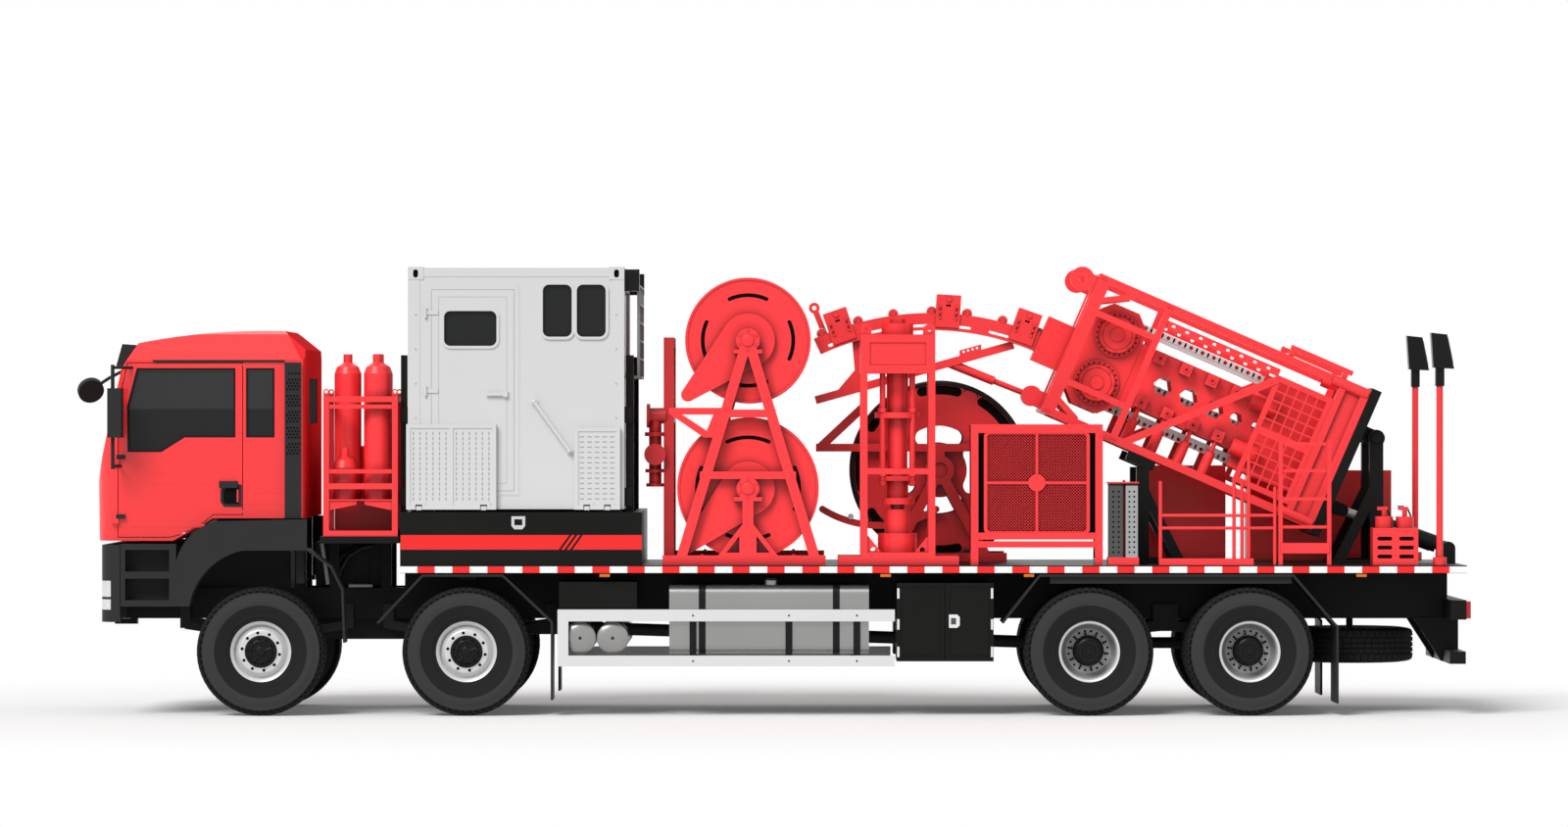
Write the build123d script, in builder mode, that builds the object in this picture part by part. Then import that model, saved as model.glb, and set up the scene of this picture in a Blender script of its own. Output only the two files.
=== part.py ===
"""Coiled tubing unit on an eight-wheel truck chassis, in millimetres.

The cab faces -X, the tail +X, the vehicle's right side is +Y and Z is up.
The ground is Z = 0. Stations are measured back from the bumper's face
and keep their share of the body's length.
"""

import os
from math import asin, atan2, cos, degrees, hypot, radians, sin, sqrt

from build123d import *

os.makedirs("parts", exist_ok=True)

# Overall
BODY_LENGTH = 11960
MIRROR_REACH = 410
HALF_WIDTH = 1250
FRONT_X = MIRROR_REACH - (BODY_LENGTH + MIRROR_REACH) / 2
TAIL_X = FRONT_X + BODY_LENGTH
STATION_SPAN = 11960
LEFT, RIGHT = -1, 1
SIDES = (LEFT, RIGHT)
TOUCH = 0.3
RUNNING_FIT = 0.06



def at(station):
    """X of a station measured back from the bumper's face."""
    return FRONT_X + station * BODY_LENGTH / STATION_SPAN


# Running gear
WHEEL_R = 561
TYRE_HALF = 155
BEAD_R = 258
BEAD_HALF = 108
LIP_R = 290
BARREL_R = 236
FRONT_WHEEL_Y = 1080
REAR_WHEEL_Y = 1085
TWIN_SPACING = 345
KINGPIN_Y = 900
KINGPIN_R = 28
FRONT_SPINDLE_R = 40
REAR_SPINDLE_R = 50
AXLE_1 = at(1397)
AXLE_2 = at(3192)
AXLE_3 = at(8629)
AXLE_4 = at(10029)

# Chassis
RAIL_IN = 350
RAIL_OUT = 430
RAIL_BOTTOM = 830
RAIL_TOP = 1100
RAIL_WALL = 12
RAIL_FRONT = FRONT_X + 215
RAIL_REAR = TAIL_X - 135
DECK_TOP = 1315
DECK_DEPTH = 68
DECK_PLATE = 14
DECK_FRONT = at(2614)
DECK_REAR = TAIL_X - 40
PLATFORM_TOP = 1567
TOW_PIN_R = 25

# Cab
CAB_HALF = 1120
CAB_WALL = 60
CAB_FRONT = at(-40)
CAB_REAR = at(1777)
CAB_BOTTOM = 1527
CAB_BOTTOM_REAR = 1725
CAB_ROOF = 3365
DOOR_FRONT = at(147)
DOOR_REAR = at(1230)
DOOR_TOP = 3080
DOOR_GAP = 7
DOOR_HINGE_X = DOOR_FRONT - 4
DOOR_HINGE_Y = CAB_HALF + 22
DOOR_HINGES = (1720, 2240)
HINGE_HALF = 40
HINGE_R = 14
HINGE_PIN_R = 8
BELT = 2443

# Control cabin
CABIN_FRONT = at(2681)
CABIN_REAR = at(4570)
CABIN_HALF = 1190
CABIN_BOTTOM = 1805
CABIN_TOP = 3920
CABIN_WALL = 50
BASE_FRONT = at(2595)
BASE_REAR = at(4724)
BASE_HALF = 1240
BASE_TOP = 1780
WALKWAY_BOTTOM = CABIN_BOTTOM - 3
WALKWAY_DEPTH = 50
WALKWAY_HINGE_Y = -CABIN_HALF - 35
WALKWAY_HINGE_Z = WALKWAY_BOTTOM + 12
WALKWAY_PIN_R = 8
WALKWAY_PIN_HALF = 50
# Name, front edge, rear edge and height of each folded walkway
WALKWAYS = (
    ("walkway_front", at(2669), at(3454), 745),
    ("walkway_rear", at(4134), at(4534), 717),
)
WALKWAY_HINGE_INSET = 110

# Hose reels
HOSE_REEL_X = at(5649)
UPPER_REEL_Z = 3279
UPPER_REEL_R = 550
LOWER_REEL_Z = 1985
LOWER_REEL_R = 620
REEL_HALF = 1035
REEL_FACE = REEL_HALF + 20
REEL_HUB_R = 235
REEL_SHAFT_R = 60
STAND_HALF = 1190
STAND_DEPTH = 90

# Large reel on the right
LARGE_REEL_X = at(7354)
LARGE_REEL_Z = 2135
LARGE_REEL_R = 800
LARGE_REEL_Y = (330, 1010)

# Tilting injector: local u runs down the frame to its base, v across it
TILT = 23.5
PIVOT_X = TAIL_X - 764
PIVOT_Z = 2422
PIVOT_R = 42
BASE_U = -220
BASE_V = -305
INJECTOR_LENGTH = 2600
INJECTOR_HALF_V = 665
INJECTOR_HALF_Y = 640
ROD_EYE_U = -10
ROD_EYE_V = -699
CLEVIS_X = TAIL_X - 110
CLEVIS_Z = 1445
CYLINDER_Y = 220


def side(y):
    """Sketch plane at a given Y, with X across, Z up and its normal to the left."""
    return Plane.XZ.offset(-y)


def across(hand, near, far):
    """Y range between two distances from the centre plane on one hand."""
    return tuple(sorted((hand * near, hand * far)))


def block(x, y, z, mode=Mode.ADD):
    """Box between the low and the high value on each axis."""
    with Locations(((x[0] + x[1]) / 2, (y[0] + y[1]) / 2, (z[0] + z[1]) / 2)):
        Box(x[1] - x[0], y[1] - y[0], z[1] - z[0], mode=mode)


def rod(start, end, radius, mode=Mode.ADD):
    """Round bar between two points."""
    line = Vector(end) - Vector(start)
    with Locations(Plane(origin=Vector(start) + line * 0.5, z_dir=line)):
        Cylinder(radius, line.length, mode=mode)


def area(x, y, mode=Mode.ADD):
    """Rectangle between the low and the high value on each sketch axis."""
    with Locations(((x[0] + x[1]) / 2, (y[0] + y[1]) / 2)):
        Rectangle(x[1] - x[0], y[1] - y[0], mode=mode)


def stroke(start, end, width, mode=Mode.ADD):
    """Straight strip between two sketch points."""
    run, rise = end[0] - start[0], end[1] - start[1]
    with Locations(((start[0] + end[0]) / 2, (start[1] + end[1]) / 2)):
        Rectangle(hypot(run, rise), width, rotation=degrees(atan2(rise, run)), mode=mode)


def strip(points, width):
    """Bent strip through sketch points, with round corners."""
    for start, end in zip(points, points[1:]):
        stroke(start, end, width)
    for corner in points[1:-1]:
        with Locations(corner):
            Circle(width / 2)


def tilted(u, v):
    """X and Z of a point of the tilting frame, measured from the pivot."""
    c, s = cos(radians(TILT)), sin(radians(TILT))
    return PIVOT_X + u * c + v * s, PIVOT_Z - u * s + v * c


def tilt_plane(y):
    """Sketch plane of the tilting frame at a given Y, centred on its base plate."""
    x, z = tilted(BASE_U, BASE_V)
    c, s = cos(radians(TILT)), sin(radians(TILT))
    return Plane(origin=(x, y, z), x_dir=(c, 0, -s), z_dir=(0, -1, 0))


def spot(u, v, y):
    """Point of the injector, measured from its base plate's centre."""
    x, z = tilted(BASE_U + u, BASE_V + v)
    return x, y, z


def arc_slots(middle, radius, width, half_angle, turns):
    """Curved slots round a middle point, one centred on each turn."""
    for turn in turns:
        arc = Edge.make_circle(radius, start_angle=turn - half_angle, end_angle=turn + half_angle)
        with Locations(middle):
            SlotArc(arc, width)


def save(part, name):
    """Name a piece and write it out."""
    part.label = name
    export_step(part, f"parts/{name}.step")


# Frame: two channel rails, crossmembers, tow lugs and the rear underrun guard
CROSSMEMBERS = (at(275), at(2780), at(4250), at(5750), at(7250), at(9329), at(10995), at(11700))
CAB_MOUNTS = ((at(200), CAB_BOTTOM), (at(1690), CAB_BOTTOM_REAR))
with BuildPart() as frame:
    for hand in SIDES:
        block((RAIL_FRONT, RAIL_REAR), across(hand, RAIL_IN, RAIL_OUT), (RAIL_BOTTOM, RAIL_TOP))
        block(
            (RAIL_FRONT, RAIL_REAR),
            across(hand, RAIL_IN, RAIL_OUT - RAIL_WALL),
            (RAIL_BOTTOM + RAIL_WALL, RAIL_TOP - RAIL_WALL),
            mode=Mode.SUBTRACT,
        )
    for x in CROSSMEMBERS:
        block((x - 45, x + 45), (-RAIL_OUT + 5, RAIL_OUT - 5), (RAIL_TOP - 120, RAIL_TOP - 20))
    for x, top in CAB_MOUNTS:
        for hand in SIDES:
            block((x - 50, x + 50), across(hand, RAIL_IN, RAIL_OUT), (RAIL_TOP - 20, top))
    block((RAIL_FRONT - 60, RAIL_FRONT + 60), (-RAIL_OUT, RAIL_OUT), (RAIL_BOTTOM, RAIL_BOTTOM + 100))
    block((FRONT_X + 15, RAIL_FRONT), (-60, 60), (RAIL_BOTTOM - 60, RAIL_BOTTOM - 15))
    block((RAIL_FRONT - 60, RAIL_FRONT), (-60, 60), (RAIL_BOTTOM - 20, RAIL_BOTTOM + 20))
    rod((FRONT_X + 75, 0, RAIL_BOTTOM - 90), (FRONT_X + 75, 0, RAIL_BOTTOM), TOW_PIN_R, mode=Mode.SUBTRACT)
    block((RAIL_REAR - 40, DECK_REAR), (-1200, 1200), (840, 1010))
    for hand in SIDES:
        with BuildSketch(side(hand * RAIL_OUT)):
            Polygon((at(11520), 840), (DECK_REAR, 840), (DECK_REAR, 452), (DECK_REAR - 150, 452), align=None)
        extrude(amount=20, both=True)
    block((DECK_REAR - 140, DECK_REAR), (-1150, 1150), (452, 560))
    block((DECK_REAR - 130, DECK_REAR - 10), (-70, 70), (790, 850))
    rod((DECK_REAR - 70, 0, 780), (DECK_REAR - 70, 0, 840), TOW_PIN_R, mode=Mode.SUBTRACT)
save(frame.part, "frame")

# Deck: edge sills, floor plate, bearers, subframe beams and the raised platform behind the cab
BEARERS = (at(2900), at(4300), at(5700), at(7100), at(7900), at(10900), at(11700))
with BuildPart() as deck:
    block((DECK_FRONT, DECK_REAR), (-HALF_WIDTH, HALF_WIDTH), (DECK_TOP - DECK_DEPTH, DECK_TOP))
    block(
        (DECK_FRONT + 70, DECK_REAR - 70),
        (-HALF_WIDTH + 70, HALF_WIDTH - 70),
        (DECK_TOP - DECK_DEPTH, DECK_TOP - DECK_PLATE),
        mode=Mode.SUBTRACT,
    )
    for x in BEARERS:
        block((x - 40, x + 40), (-HALF_WIDTH + 40, HALF_WIDTH - 40), (DECK_TOP - DECK_DEPTH, DECK_TOP - 5))
    for hand in SIDES:
        block((DECK_FRONT, RAIL_REAR), across(hand, RAIL_IN, RAIL_OUT), (RAIL_TOP, DECK_TOP - 5))
    block((at(1915), at(2606)), (-1235, 1235), (PLATFORM_TOP - 60, PLATFORM_TOP))
    for hand in SIDES:
        for x in (at(1990), at(2450)):
            block((x - 45, x + 45), across(hand, RAIL_IN, RAIL_OUT), (RAIL_TOP, PLATFORM_TOP - 30))
save(deck.part, "deck")

# Axles: two steered beams on leaf springs, and two driven housings on a shared bogie spring
SHAFT_Z = 730
FRONT_SPRING_HALF = 720
with BuildPart() as axles:
    for x in (AXLE_1, AXLE_2):
        block((x - 55, x + 55), (-KINGPIN_Y, KINGPIN_Y), (WHEEL_R - 50, WHEEL_R + 50))
        for hand in SIDES:
            pin = (x, hand * KINGPIN_Y)
            rod((*pin, WHEEL_R - 60), (*pin, WHEEL_R + 60), 55)
            rod((*pin, WHEEL_R - 118), (*pin, WHEEL_R + 118), KINGPIN_R)
            with BuildSketch(side(hand * 435)):
                strip(((x - FRONT_SPRING_HALF, 775), (x, 665), (x + FRONT_SPRING_HALF, 775)), 76)
            extrude(amount=45, both=True)
            block((x - 80, x + 80), across(hand, 390, 480), (WHEEL_R + 45, 725))
            for end in (-1, 1):
                hanger = x + end * FRONT_SPRING_HALF
                block((hanger - 45, hanger + 45), across(hand, RAIL_OUT, 480), (745, 960))
    middle = (AXLE_3 + AXLE_4) / 2
    for x in (AXLE_3, AXLE_4):
        rod((x, -885, WHEEL_R), (x, 885, WHEEL_R), 80)
        rod((x, -REAR_WHEEL_Y, WHEEL_R), (x, REAR_WHEEL_Y, WHEEL_R), REAR_SPINDLE_R)
        with Locations((x, 0, WHEEL_R)):
            Sphere(225)
        rod((x - 300, 0, WHEEL_R + 40), (x, 0, WHEEL_R + 40), 110)
        for hand in SIDES:
            block((x - 70, x + 70), across(hand, 445, 540), (WHEEL_R, 720))
    for hand in SIDES:
        with BuildSketch(side(hand * 492.5)):
            strip(((AXLE_3 - 60, 690), (middle, 770), (AXLE_4 + 60, 690)), 90)
        extrude(amount=47.5, both=True)
        block((middle - 110, middle + 110), across(hand, RAIL_OUT, 540), (720, 960))
    rod((at(2680), 0, SHAFT_Z), (at(4300), 0, SHAFT_Z), 55)
    with Locations((at(4300), 0, SHAFT_Z)):
        Sphere(75)
    rod((at(4300), 0, SHAFT_Z), (AXLE_3 - 280, 0, WHEEL_R + 40), 55)
    rod((AXLE_3, 0, WHEEL_R + 40), (AXLE_4, 0, WHEEL_R + 40), 50)
save(axles.part, "axles")

# Engine and gearbox, closed masses between the rails
with BuildPart() as powertrain:
    block((at(525), at(1600)), (-RAIL_IN, RAIL_IN), (860, 1490))
    block((at(1600), at(2680)), (-230, 230), (640, 1000))
    block((at(1600), at(1750)), (-RAIL_IN, RAIL_IN), (860, 960))
save(powertrain.part, "powertrain")

# Aluminium fuel tanks, and the air tanks ahead of them
FUEL_TANK_X = (at(4963), at(6705))
AIR_TANKS = (at(4184), at(4468))
TANK_FACE_Y = 1200
with BuildPart() as tanks:
    for hand in SIDES:
        with BuildSketch(Plane.YZ.offset(FUEL_TANK_X[0])):
            with Locations((hand * (TANK_FACE_Y + 560) / 2, 838)):
                RectangleRounded(TANK_FACE_Y - 560, 608, 80)
        extrude(amount=FUEL_TANK_X[1] - FUEL_TANK_X[0])
        for x in (at(5250), at(6420)):
            block((x - 60, x + 60), across(hand, RAIL_OUT, 600), (850, 1000))
            with BuildSketch(Plane.YZ.offset(x - 30)):
                with Locations((hand * (TANK_FACE_Y + 560) / 2, 838)):
                    RectangleRounded(TANK_FACE_Y - 560 + 12, 620, 86)
            extrude(amount=60)
        rod((at(5850), hand * 1040, 1130), (at(5850), hand * 1040, 1185), 62)
        for x in AIR_TANKS:
            rod((x, hand * 560, 679), (x, hand * 1180, 679), 138)
            block((x - 40, x + 40), across(hand, RAIL_OUT, 700), (780, 860))
save(tanks.part, "tanks")

# Toolboxes behind the fuel tanks and battery boxes over the air tanks
TOOLBOX_X = (at(6947), at(7793))
with BuildPart() as toolboxes:
    for hand in SIDES:
        block(TOOLBOX_X, across(hand, 600, 1225), (477, 1161))
        seam = sum(TOOLBOX_X) / 2
        block((seam - 5, seam + 5), across(hand, 1213, 1300), (400, 1200), mode=Mode.SUBTRACT)
        for x in (TOOLBOX_X[0], seam + 5):
            leaf = (x + 30, x + (TOOLBOX_X[1] - TOOLBOX_X[0]) / 2 - 35)
            block(leaf, across(hand, 1219, 1300), (510, 1128), mode=Mode.SUBTRACT)
            block((leaf[0] + 18, leaf[1] - 18), across(hand, 1200, 1225), (528, 1110))
        block((TOOLBOX_X[0] + 200, TOOLBOX_X[1] - 200), across(hand, RAIL_OUT, 600), (850, 1000))
        block((at(4000), at(4680)), across(hand, 600, 1180), (940, 1170))
        block((at(4200), at(4500)), across(hand, RAIL_OUT, 600), (960, 1050))
save(toolboxes.part, "toolboxes")

# Side guards: two rails on brackets that stand on the fuel tanks
GUARD_X = (at(3989), at(6930))
GUARD_RAILS = ((434, 528), (827, 930))
GUARD_BRACKETS = (at(5170), at(6007), at(6600))
with BuildPart() as side_guards:
    for hand in SIDES:
        for z in GUARD_RAILS:
            block(GUARD_X, across(hand, 1215, 1245), z)
        block((GUARD_X[0], GUARD_X[0] + 94), across(hand, 1215, 1245), (434, 930))
        for x in GUARD_BRACKETS:
            block((x - 30, x + 30), across(hand, TANK_FACE_Y, 1220), (434, 930))
save(side_guards.part, "side_guards")

# Front bumper with wrapped ends, and the lamps set into it
BUMPER_Z = (820, 1492)
BUMPER_REAR = FRONT_X + 172
BUMPER_WALL = 80
LAMPS = ((1040, 1180), (928, 1018))
with BuildPart() as bumper_form:
    with BuildSketch(Plane.XY.offset(BUMPER_Z[0])) as bumper_plan:
        area((FRONT_X, FRONT_X + 600), (-1245, 1245))
        fillet(bumper_plan.vertices().group_by(Axis.X)[0], 180)
        inside = 1245 - BUMPER_WALL
        area((FRONT_X + BUMPER_WALL, FRONT_X + 600), (-inside, inside), mode=Mode.SUBTRACT)
        area((BUMPER_REAR, FRONT_X + 700), (-1300, 1300), mode=Mode.SUBTRACT)
    extrude(amount=BUMPER_Z[1] - BUMPER_Z[0])
with BuildPart() as bumper:
    add(bumper_form.part)
    for z in LAMPS:
        for hand in SIDES:
            block((FRONT_X - 10, FRONT_X + 90), across(hand, 780, 1300), z, mode=Mode.SUBTRACT)
    for hand in SIDES:
        bracket_x = (FRONT_X + BUMPER_WALL, RAIL_FRONT - 60)
        block(bracket_x, across(hand, RAIL_IN, RAIL_OUT), (RAIL_BOTTOM, RAIL_BOTTOM + 100))
save(bumper.part, "bumper")

with BuildPart() as lamps:
    for z in LAMPS:
        for hand in SIDES:
            block(
                (FRONT_X - 10, FRONT_X + 90 - TOUCH),
                across(hand, 780 + TOUCH, 1300),
                (z[0] + TOUCH, z[1] - TOUCH),
            )
    add(bumper_form.part, mode=Mode.INTERSECT)
    for hand in SIDES:
        block((DECK_REAR, TAIL_X), across(hand, 820, 1180), (850, 1000))
save(lamps.part, "lamps")

# Mudguards: cab fenders with steps, angular guards over the other axles, and flaps
FENDER_Y = (930, 1250)
FENDER_FOOT = 957
FENDER_FLAT = 1444
FENDER_TAIL = ((at(1230), 1454), (at(1803), 1454), (at(2015), 1300), (at(2112), 1100), (at(2128), 640))
SECOND_GUARD = ((at(2418), 811), (at(2811), 1226), (at(3511), 1226), (at(3939), 820), (at(3939), 140))
REAR_GUARD = ((at(7870), 811), (at(8194), 1226), (at(10407), 1226), (at(10792), 777), (at(10792), 110))
STEP_X = (at(177), at(662))
with BuildPart() as mudguards:
    for hand in SIDES:
        outward = -hand
        with BuildSketch(side(hand * FENDER_Y[0])):
            with BuildLine():
                ThreePointArc((at(777), FENDER_FOOT), (at(935), 1275), (at(1239), FENDER_FLAT))
                Line((at(1239), FENDER_FLAT), (at(1239), FENDER_FLAT + 20))
                ThreePointArc((at(1239), FENDER_FLAT + 20), (at(920), 1288), (at(757), FENDER_FOOT))
                Line((at(757), FENDER_FOOT), (at(777), FENDER_FOOT))
            make_face()
            strip(FENDER_TAIL, 20)
        extrude(amount=outward * (FENDER_Y[1] - FENDER_Y[0]))
        with BuildSketch(side(hand * (FENDER_Y[1] - 40))):
            with BuildLine():
                Line((at(649), FENDER_FOOT), (at(652), 1230))
                ThreePointArc((at(652), 1230), (at(760), 1545), (at(1016), 1700))
                Polyline((at(1016), 1700), (at(1803), 1717), (at(1803), FENDER_FLAT), (at(1239), FENDER_FLAT))
                ThreePointArc((at(1239), FENDER_FLAT), (at(935), 1275), (at(777), FENDER_FOOT))
                Line((at(777), FENDER_FOOT), (at(649), FENDER_FOOT))
            make_face()
        extrude(amount=outward * 40)
        block(STEP_X, across(hand, 900, 1245), (956, 1500))
        for z in ((1010, 1200), (1260, 1450)):
            block((STEP_X[0] + 40, STEP_X[1] - 60), across(hand, 1060, 1300), z, mode=Mode.SUBTRACT)
        block((STEP_X[0] + 100, STEP_X[0] + 200), across(hand, RAIL_OUT, 900), (960, 1050))
        block((at(1690), at(1760)), across(hand, RAIL_OUT, FENDER_Y[0] + 20), (1150, 1190))
        block((at(1690), at(1760)), across(hand, FENDER_Y[0], FENDER_Y[0] + 20), (1150, 1452))
        with BuildSketch(side(hand * 800)):
            strip(SECOND_GUARD, 20)
        extrude(amount=outward * 445)
        block((at(3120), at(3260)), across(hand, RAIL_OUT, 820), (1180, 1225))
        with BuildSketch(side(hand * 600)):
            strip(REAR_GUARD, 20)
        extrude(amount=outward * 645)
        block((at(9240), at(9420)), across(hand, RAIL_OUT, 620), (1180, 1225))
save(mudguards.part, "mudguards")


def tyre_plane(x, y, hand):
    """Half-section plane of a wheel: local x runs outward and local y is the radius."""
    return Plane(origin=(x, y, WHEEL_R), x_dir=(0, hand, 0), z_dir=(hand, 0, 0))


def tyre_outline(middle):
    """Points of a tyre's half section, given where its middle lies."""
    half = (
        (BEAD_HALF, BEAD_R), (BEAD_HALF + 22, 300), (TYRE_HALF, 400), (TYRE_HALF, 455),
        (TYRE_HALF - 12, 520), (TYRE_HALF - 30, WHEEL_R - 8), (TYRE_HALF - 55, WHEEL_R),
    )
    right = [(middle + o, r) for o, r in half]
    left = [(middle - o, r) for o, r in reversed(half)]
    return right + left


def rim_barrel(middle):
    """Barrel and lips of a rim in its half section."""
    area((middle - BEAD_HALF - 14, middle + BEAD_HALF + 14), (BARREL_R, BEAD_R - TOUCH))
    for end in (-1, 1):
        lip = sorted((middle + end * (BEAD_HALF + TOUCH), middle + end * (BEAD_HALF + 14)))
        area(lip, (BARREL_R, LIP_R))


def front_wheel(x, hand):
    """Single wheel of a steered axle: tyre, convex disc and hub."""
    y = hand * FRONT_WHEEL_Y
    axis = Axis((x, y, WHEEL_R), (0, 1, 0))
    with BuildPart() as wheel:
        with BuildSketch(tyre_plane(x, y, hand)):
            Polygon(*tyre_outline(0), align=None)
        revolve(axis=axis)
        with BuildSketch(tyre_plane(x, y, hand)):
            rim_barrel(0)
            stroke((40, BARREL_R + 5), (92, 190), 18)
            stroke((92, 195), (92, 80), 18)
            area((-60, 70), (FRONT_SPINDLE_R + RUNNING_FIT, 105))
            area((45, 150), (0, 105))
        revolve(axis=axis)
    return wheel.part


def rear_wheel(x, hand):
    """Twin wheel of a driven axle: two tyres, dished discs back to back and one hub."""
    y = hand * REAR_WHEEL_Y
    axis = Axis((x, y, WHEEL_R), (0, 1, 0))
    seat = -TWIN_SPACING / 2
    with BuildPart() as wheel:
        with BuildSketch(tyre_plane(x, y, hand)):
            Polygon(*tyre_outline(0), align=None)
            Polygon(*tyre_outline(-TWIN_SPACING), align=None)
        revolve(axis=axis)
        with BuildSketch(tyre_plane(x, y, hand)):
            for middle, turn in ((0, 1), (-TWIN_SPACING, -1)):
                rim_barrel(middle)
                stroke((middle - turn * 80, BARREL_R + 5), (seat + turn * 9, 190), 18)
                stroke((seat + turn * 9, 195), (seat + turn * 9, 80), 18)
            area((-190, 10), (REAR_SPINDLE_R + RUNNING_FIT, 118))
            area((5, 40), (0, 100))
        revolve(axis=axis)
    return wheel.part


def knuckle(x, hand):
    """Steering knuckle: two ears on the kingpin, brake plate, spindle and steering arm."""
    pin_y = hand * KINGPIN_Y
    plate = FRONT_WHEEL_Y - 118
    with BuildPart() as piece:
        rod((x, hand * plate, WHEEL_R), (x, hand * (FRONT_WHEEL_Y - 70), WHEEL_R), 200)
        rod((x, hand * plate, WHEEL_R), (x, hand * (FRONT_WHEEL_Y + 38), WHEEL_R), FRONT_SPINDLE_R)
        for z in ((66, 108), (-108, -66)):
            block((x - 55, x + 55), across(hand, KINGPIN_Y - 50, plate), (WHEEL_R + z[0], WHEEL_R + z[1]))
        block((x + 40, x + 230), across(hand, KINGPIN_Y - 20, KINGPIN_Y + 30), (WHEEL_R - 108, WHEEL_R - 70))
        rod((x, pin_y, WHEEL_R - 150), (x, pin_y, WHEEL_R + 150), KINGPIN_R + RUNNING_FIT, mode=Mode.SUBTRACT)
    return piece.part


AXLE_ROWS = (("1", AXLE_1), ("2", AXLE_2), ("3", AXLE_3), ("4", AXLE_4))
for number, x in AXLE_ROWS:
    for hand, name in ((LEFT, "left"), (RIGHT, "right")):
        if x in (AXLE_1, AXLE_2):
            save(knuckle(x, hand), f"knuckle_{number}_{name}")
            save(front_wheel(x, hand), f"wheel_{number}_{name}")
        else:
            save(rear_wheel(x, hand), f"wheel_{number}_{name}")

# Spare wheel slung flat under the tail from a crossmember
SPARE_X = CROSSMEMBERS[6]
SPARE_Z = 590
with BuildPart() as spare_wheel:
    spare_plane = Plane(origin=(SPARE_X, 0, SPARE_Z), x_dir=(0, 0, 1), z_dir=(0, -1, 0))
    with BuildSketch(spare_plane):
        Polygon(*[(o, -r) for o, r in tyre_outline(0)], align=None)
    revolve(axis=Axis((SPARE_X, 0, SPARE_Z), (0, 0, 1)))
    rod((SPARE_X, 0, SPARE_Z - 60), (SPARE_X, 0, SPARE_Z - 30), BEAD_R + 5)
    rod((SPARE_X, 0, SPARE_Z - 60), (SPARE_X, 0, RAIL_TOP - 120), 30)
save(spare_wheel.part, "spare_wheel")

# Cab: a form cut by its side, plan and front outlines, then hollowed
CAB_CORNER_R = 230
WINDOW_SILL = 2300
WINDOW_HEAD = 3010
WINDSCREEN_HALF = 960


def cab_form(inset):
    """The cab's outer form, drawn in by an inset."""
    with BuildPart() as form:
        with BuildSketch(side(0)) as outline:
            with BuildLine():
                Polyline(
                    (at(312), 3257), (at(175), 3034), (at(-5), 2255), (CAB_FRONT, 2049),
                    (at(-28), CAB_BOTTOM), (at(625), CAB_BOTTOM), (at(975), CAB_BOTTOM_REAR),
                    (CAB_REAR, CAB_BOTTOM_REAR), (CAB_REAR, 3200), (at(1580), CAB_ROOF),
                )
                ThreePointArc((at(1580), CAB_ROOF), (at(925), 3345), (at(312), 3257))
            make_face()
            if inset:
                offset(amount=-inset, kind=Kind.INTERSECTION, mode=Mode.REPLACE)
        extrude(amount=CAB_HALF + 100, both=True)
        with BuildSketch(Plane.XY.offset(CAB_BOTTOM - 100)) as plan:
            area((CAB_FRONT - 5, CAB_REAR + 5), (-CAB_HALF, CAB_HALF))
            fillet(plan.vertices().group_by(Axis.X)[0], CAB_CORNER_R)
            fillet(plan.vertices().group_by(Axis.X)[-1], 40)
            if inset:
                offset(amount=-inset, mode=Mode.REPLACE)
        extrude(amount=CAB_ROOF - CAB_BOTTOM + 300, mode=Mode.INTERSECT)
        with BuildSketch(Plane.YZ.offset(CAB_FRONT - 200)):
            Polygon(
                (-CAB_HALF, CAB_BOTTOM - 200), (CAB_HALF, CAB_BOTTOM - 200), (CAB_HALF, 3110),
                (900, CAB_ROOF - 30), (760, CAB_ROOF + 10), (-760, CAB_ROOF + 10),
                (-900, CAB_ROOF - 30), (-CAB_HALF, 3110), align=None,
            )
            if inset:
                offset(amount=-inset, kind=Kind.INTERSECTION, mode=Mode.REPLACE)
        extrude(amount=CAB_REAR - CAB_FRONT + 500, mode=Mode.INTERSECT)
    return form.part


def door_face(grow):
    """The door's outline in the side view, larger by grow."""
    with BuildSketch(side(0)) as face:
        with BuildLine():
            Polyline(
                (at(975), CAB_BOTTOM_REAR + 35), (DOOR_REAR, CAB_BOTTOM_REAR + 35), (DOOR_REAR, DOOR_TOP),
                (at(230), DOOR_TOP), (DOOR_FRONT, 2700), (DOOR_FRONT, CAB_BOTTOM + 35),
                (at(600), CAB_BOTTOM + 35),
            )
            ThreePointArc(
                (at(600), CAB_BOTTOM + 35), (at(800), CAB_BOTTOM + 110), (at(975), CAB_BOTTOM_REAR + 35),
            )
        make_face()
        if grow:
            offset(amount=grow, kind=Kind.INTERSECTION, mode=Mode.REPLACE)
    return face.sketch


def door_window(grow):
    """The door window's outline in the side view, larger by grow."""
    with BuildSketch(side(0)) as face:
        Polygon(
            (at(240), 2315), (at(518), 2315), (at(723), BELT), (at(1158), BELT),
            (at(1158), 3025), (at(318), 3025), (at(235), 2700), align=None,
        )
        offset(amount=grow, kind=Kind.INTERSECTION, mode=Mode.REPLACE)
    return face.sketch


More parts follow.
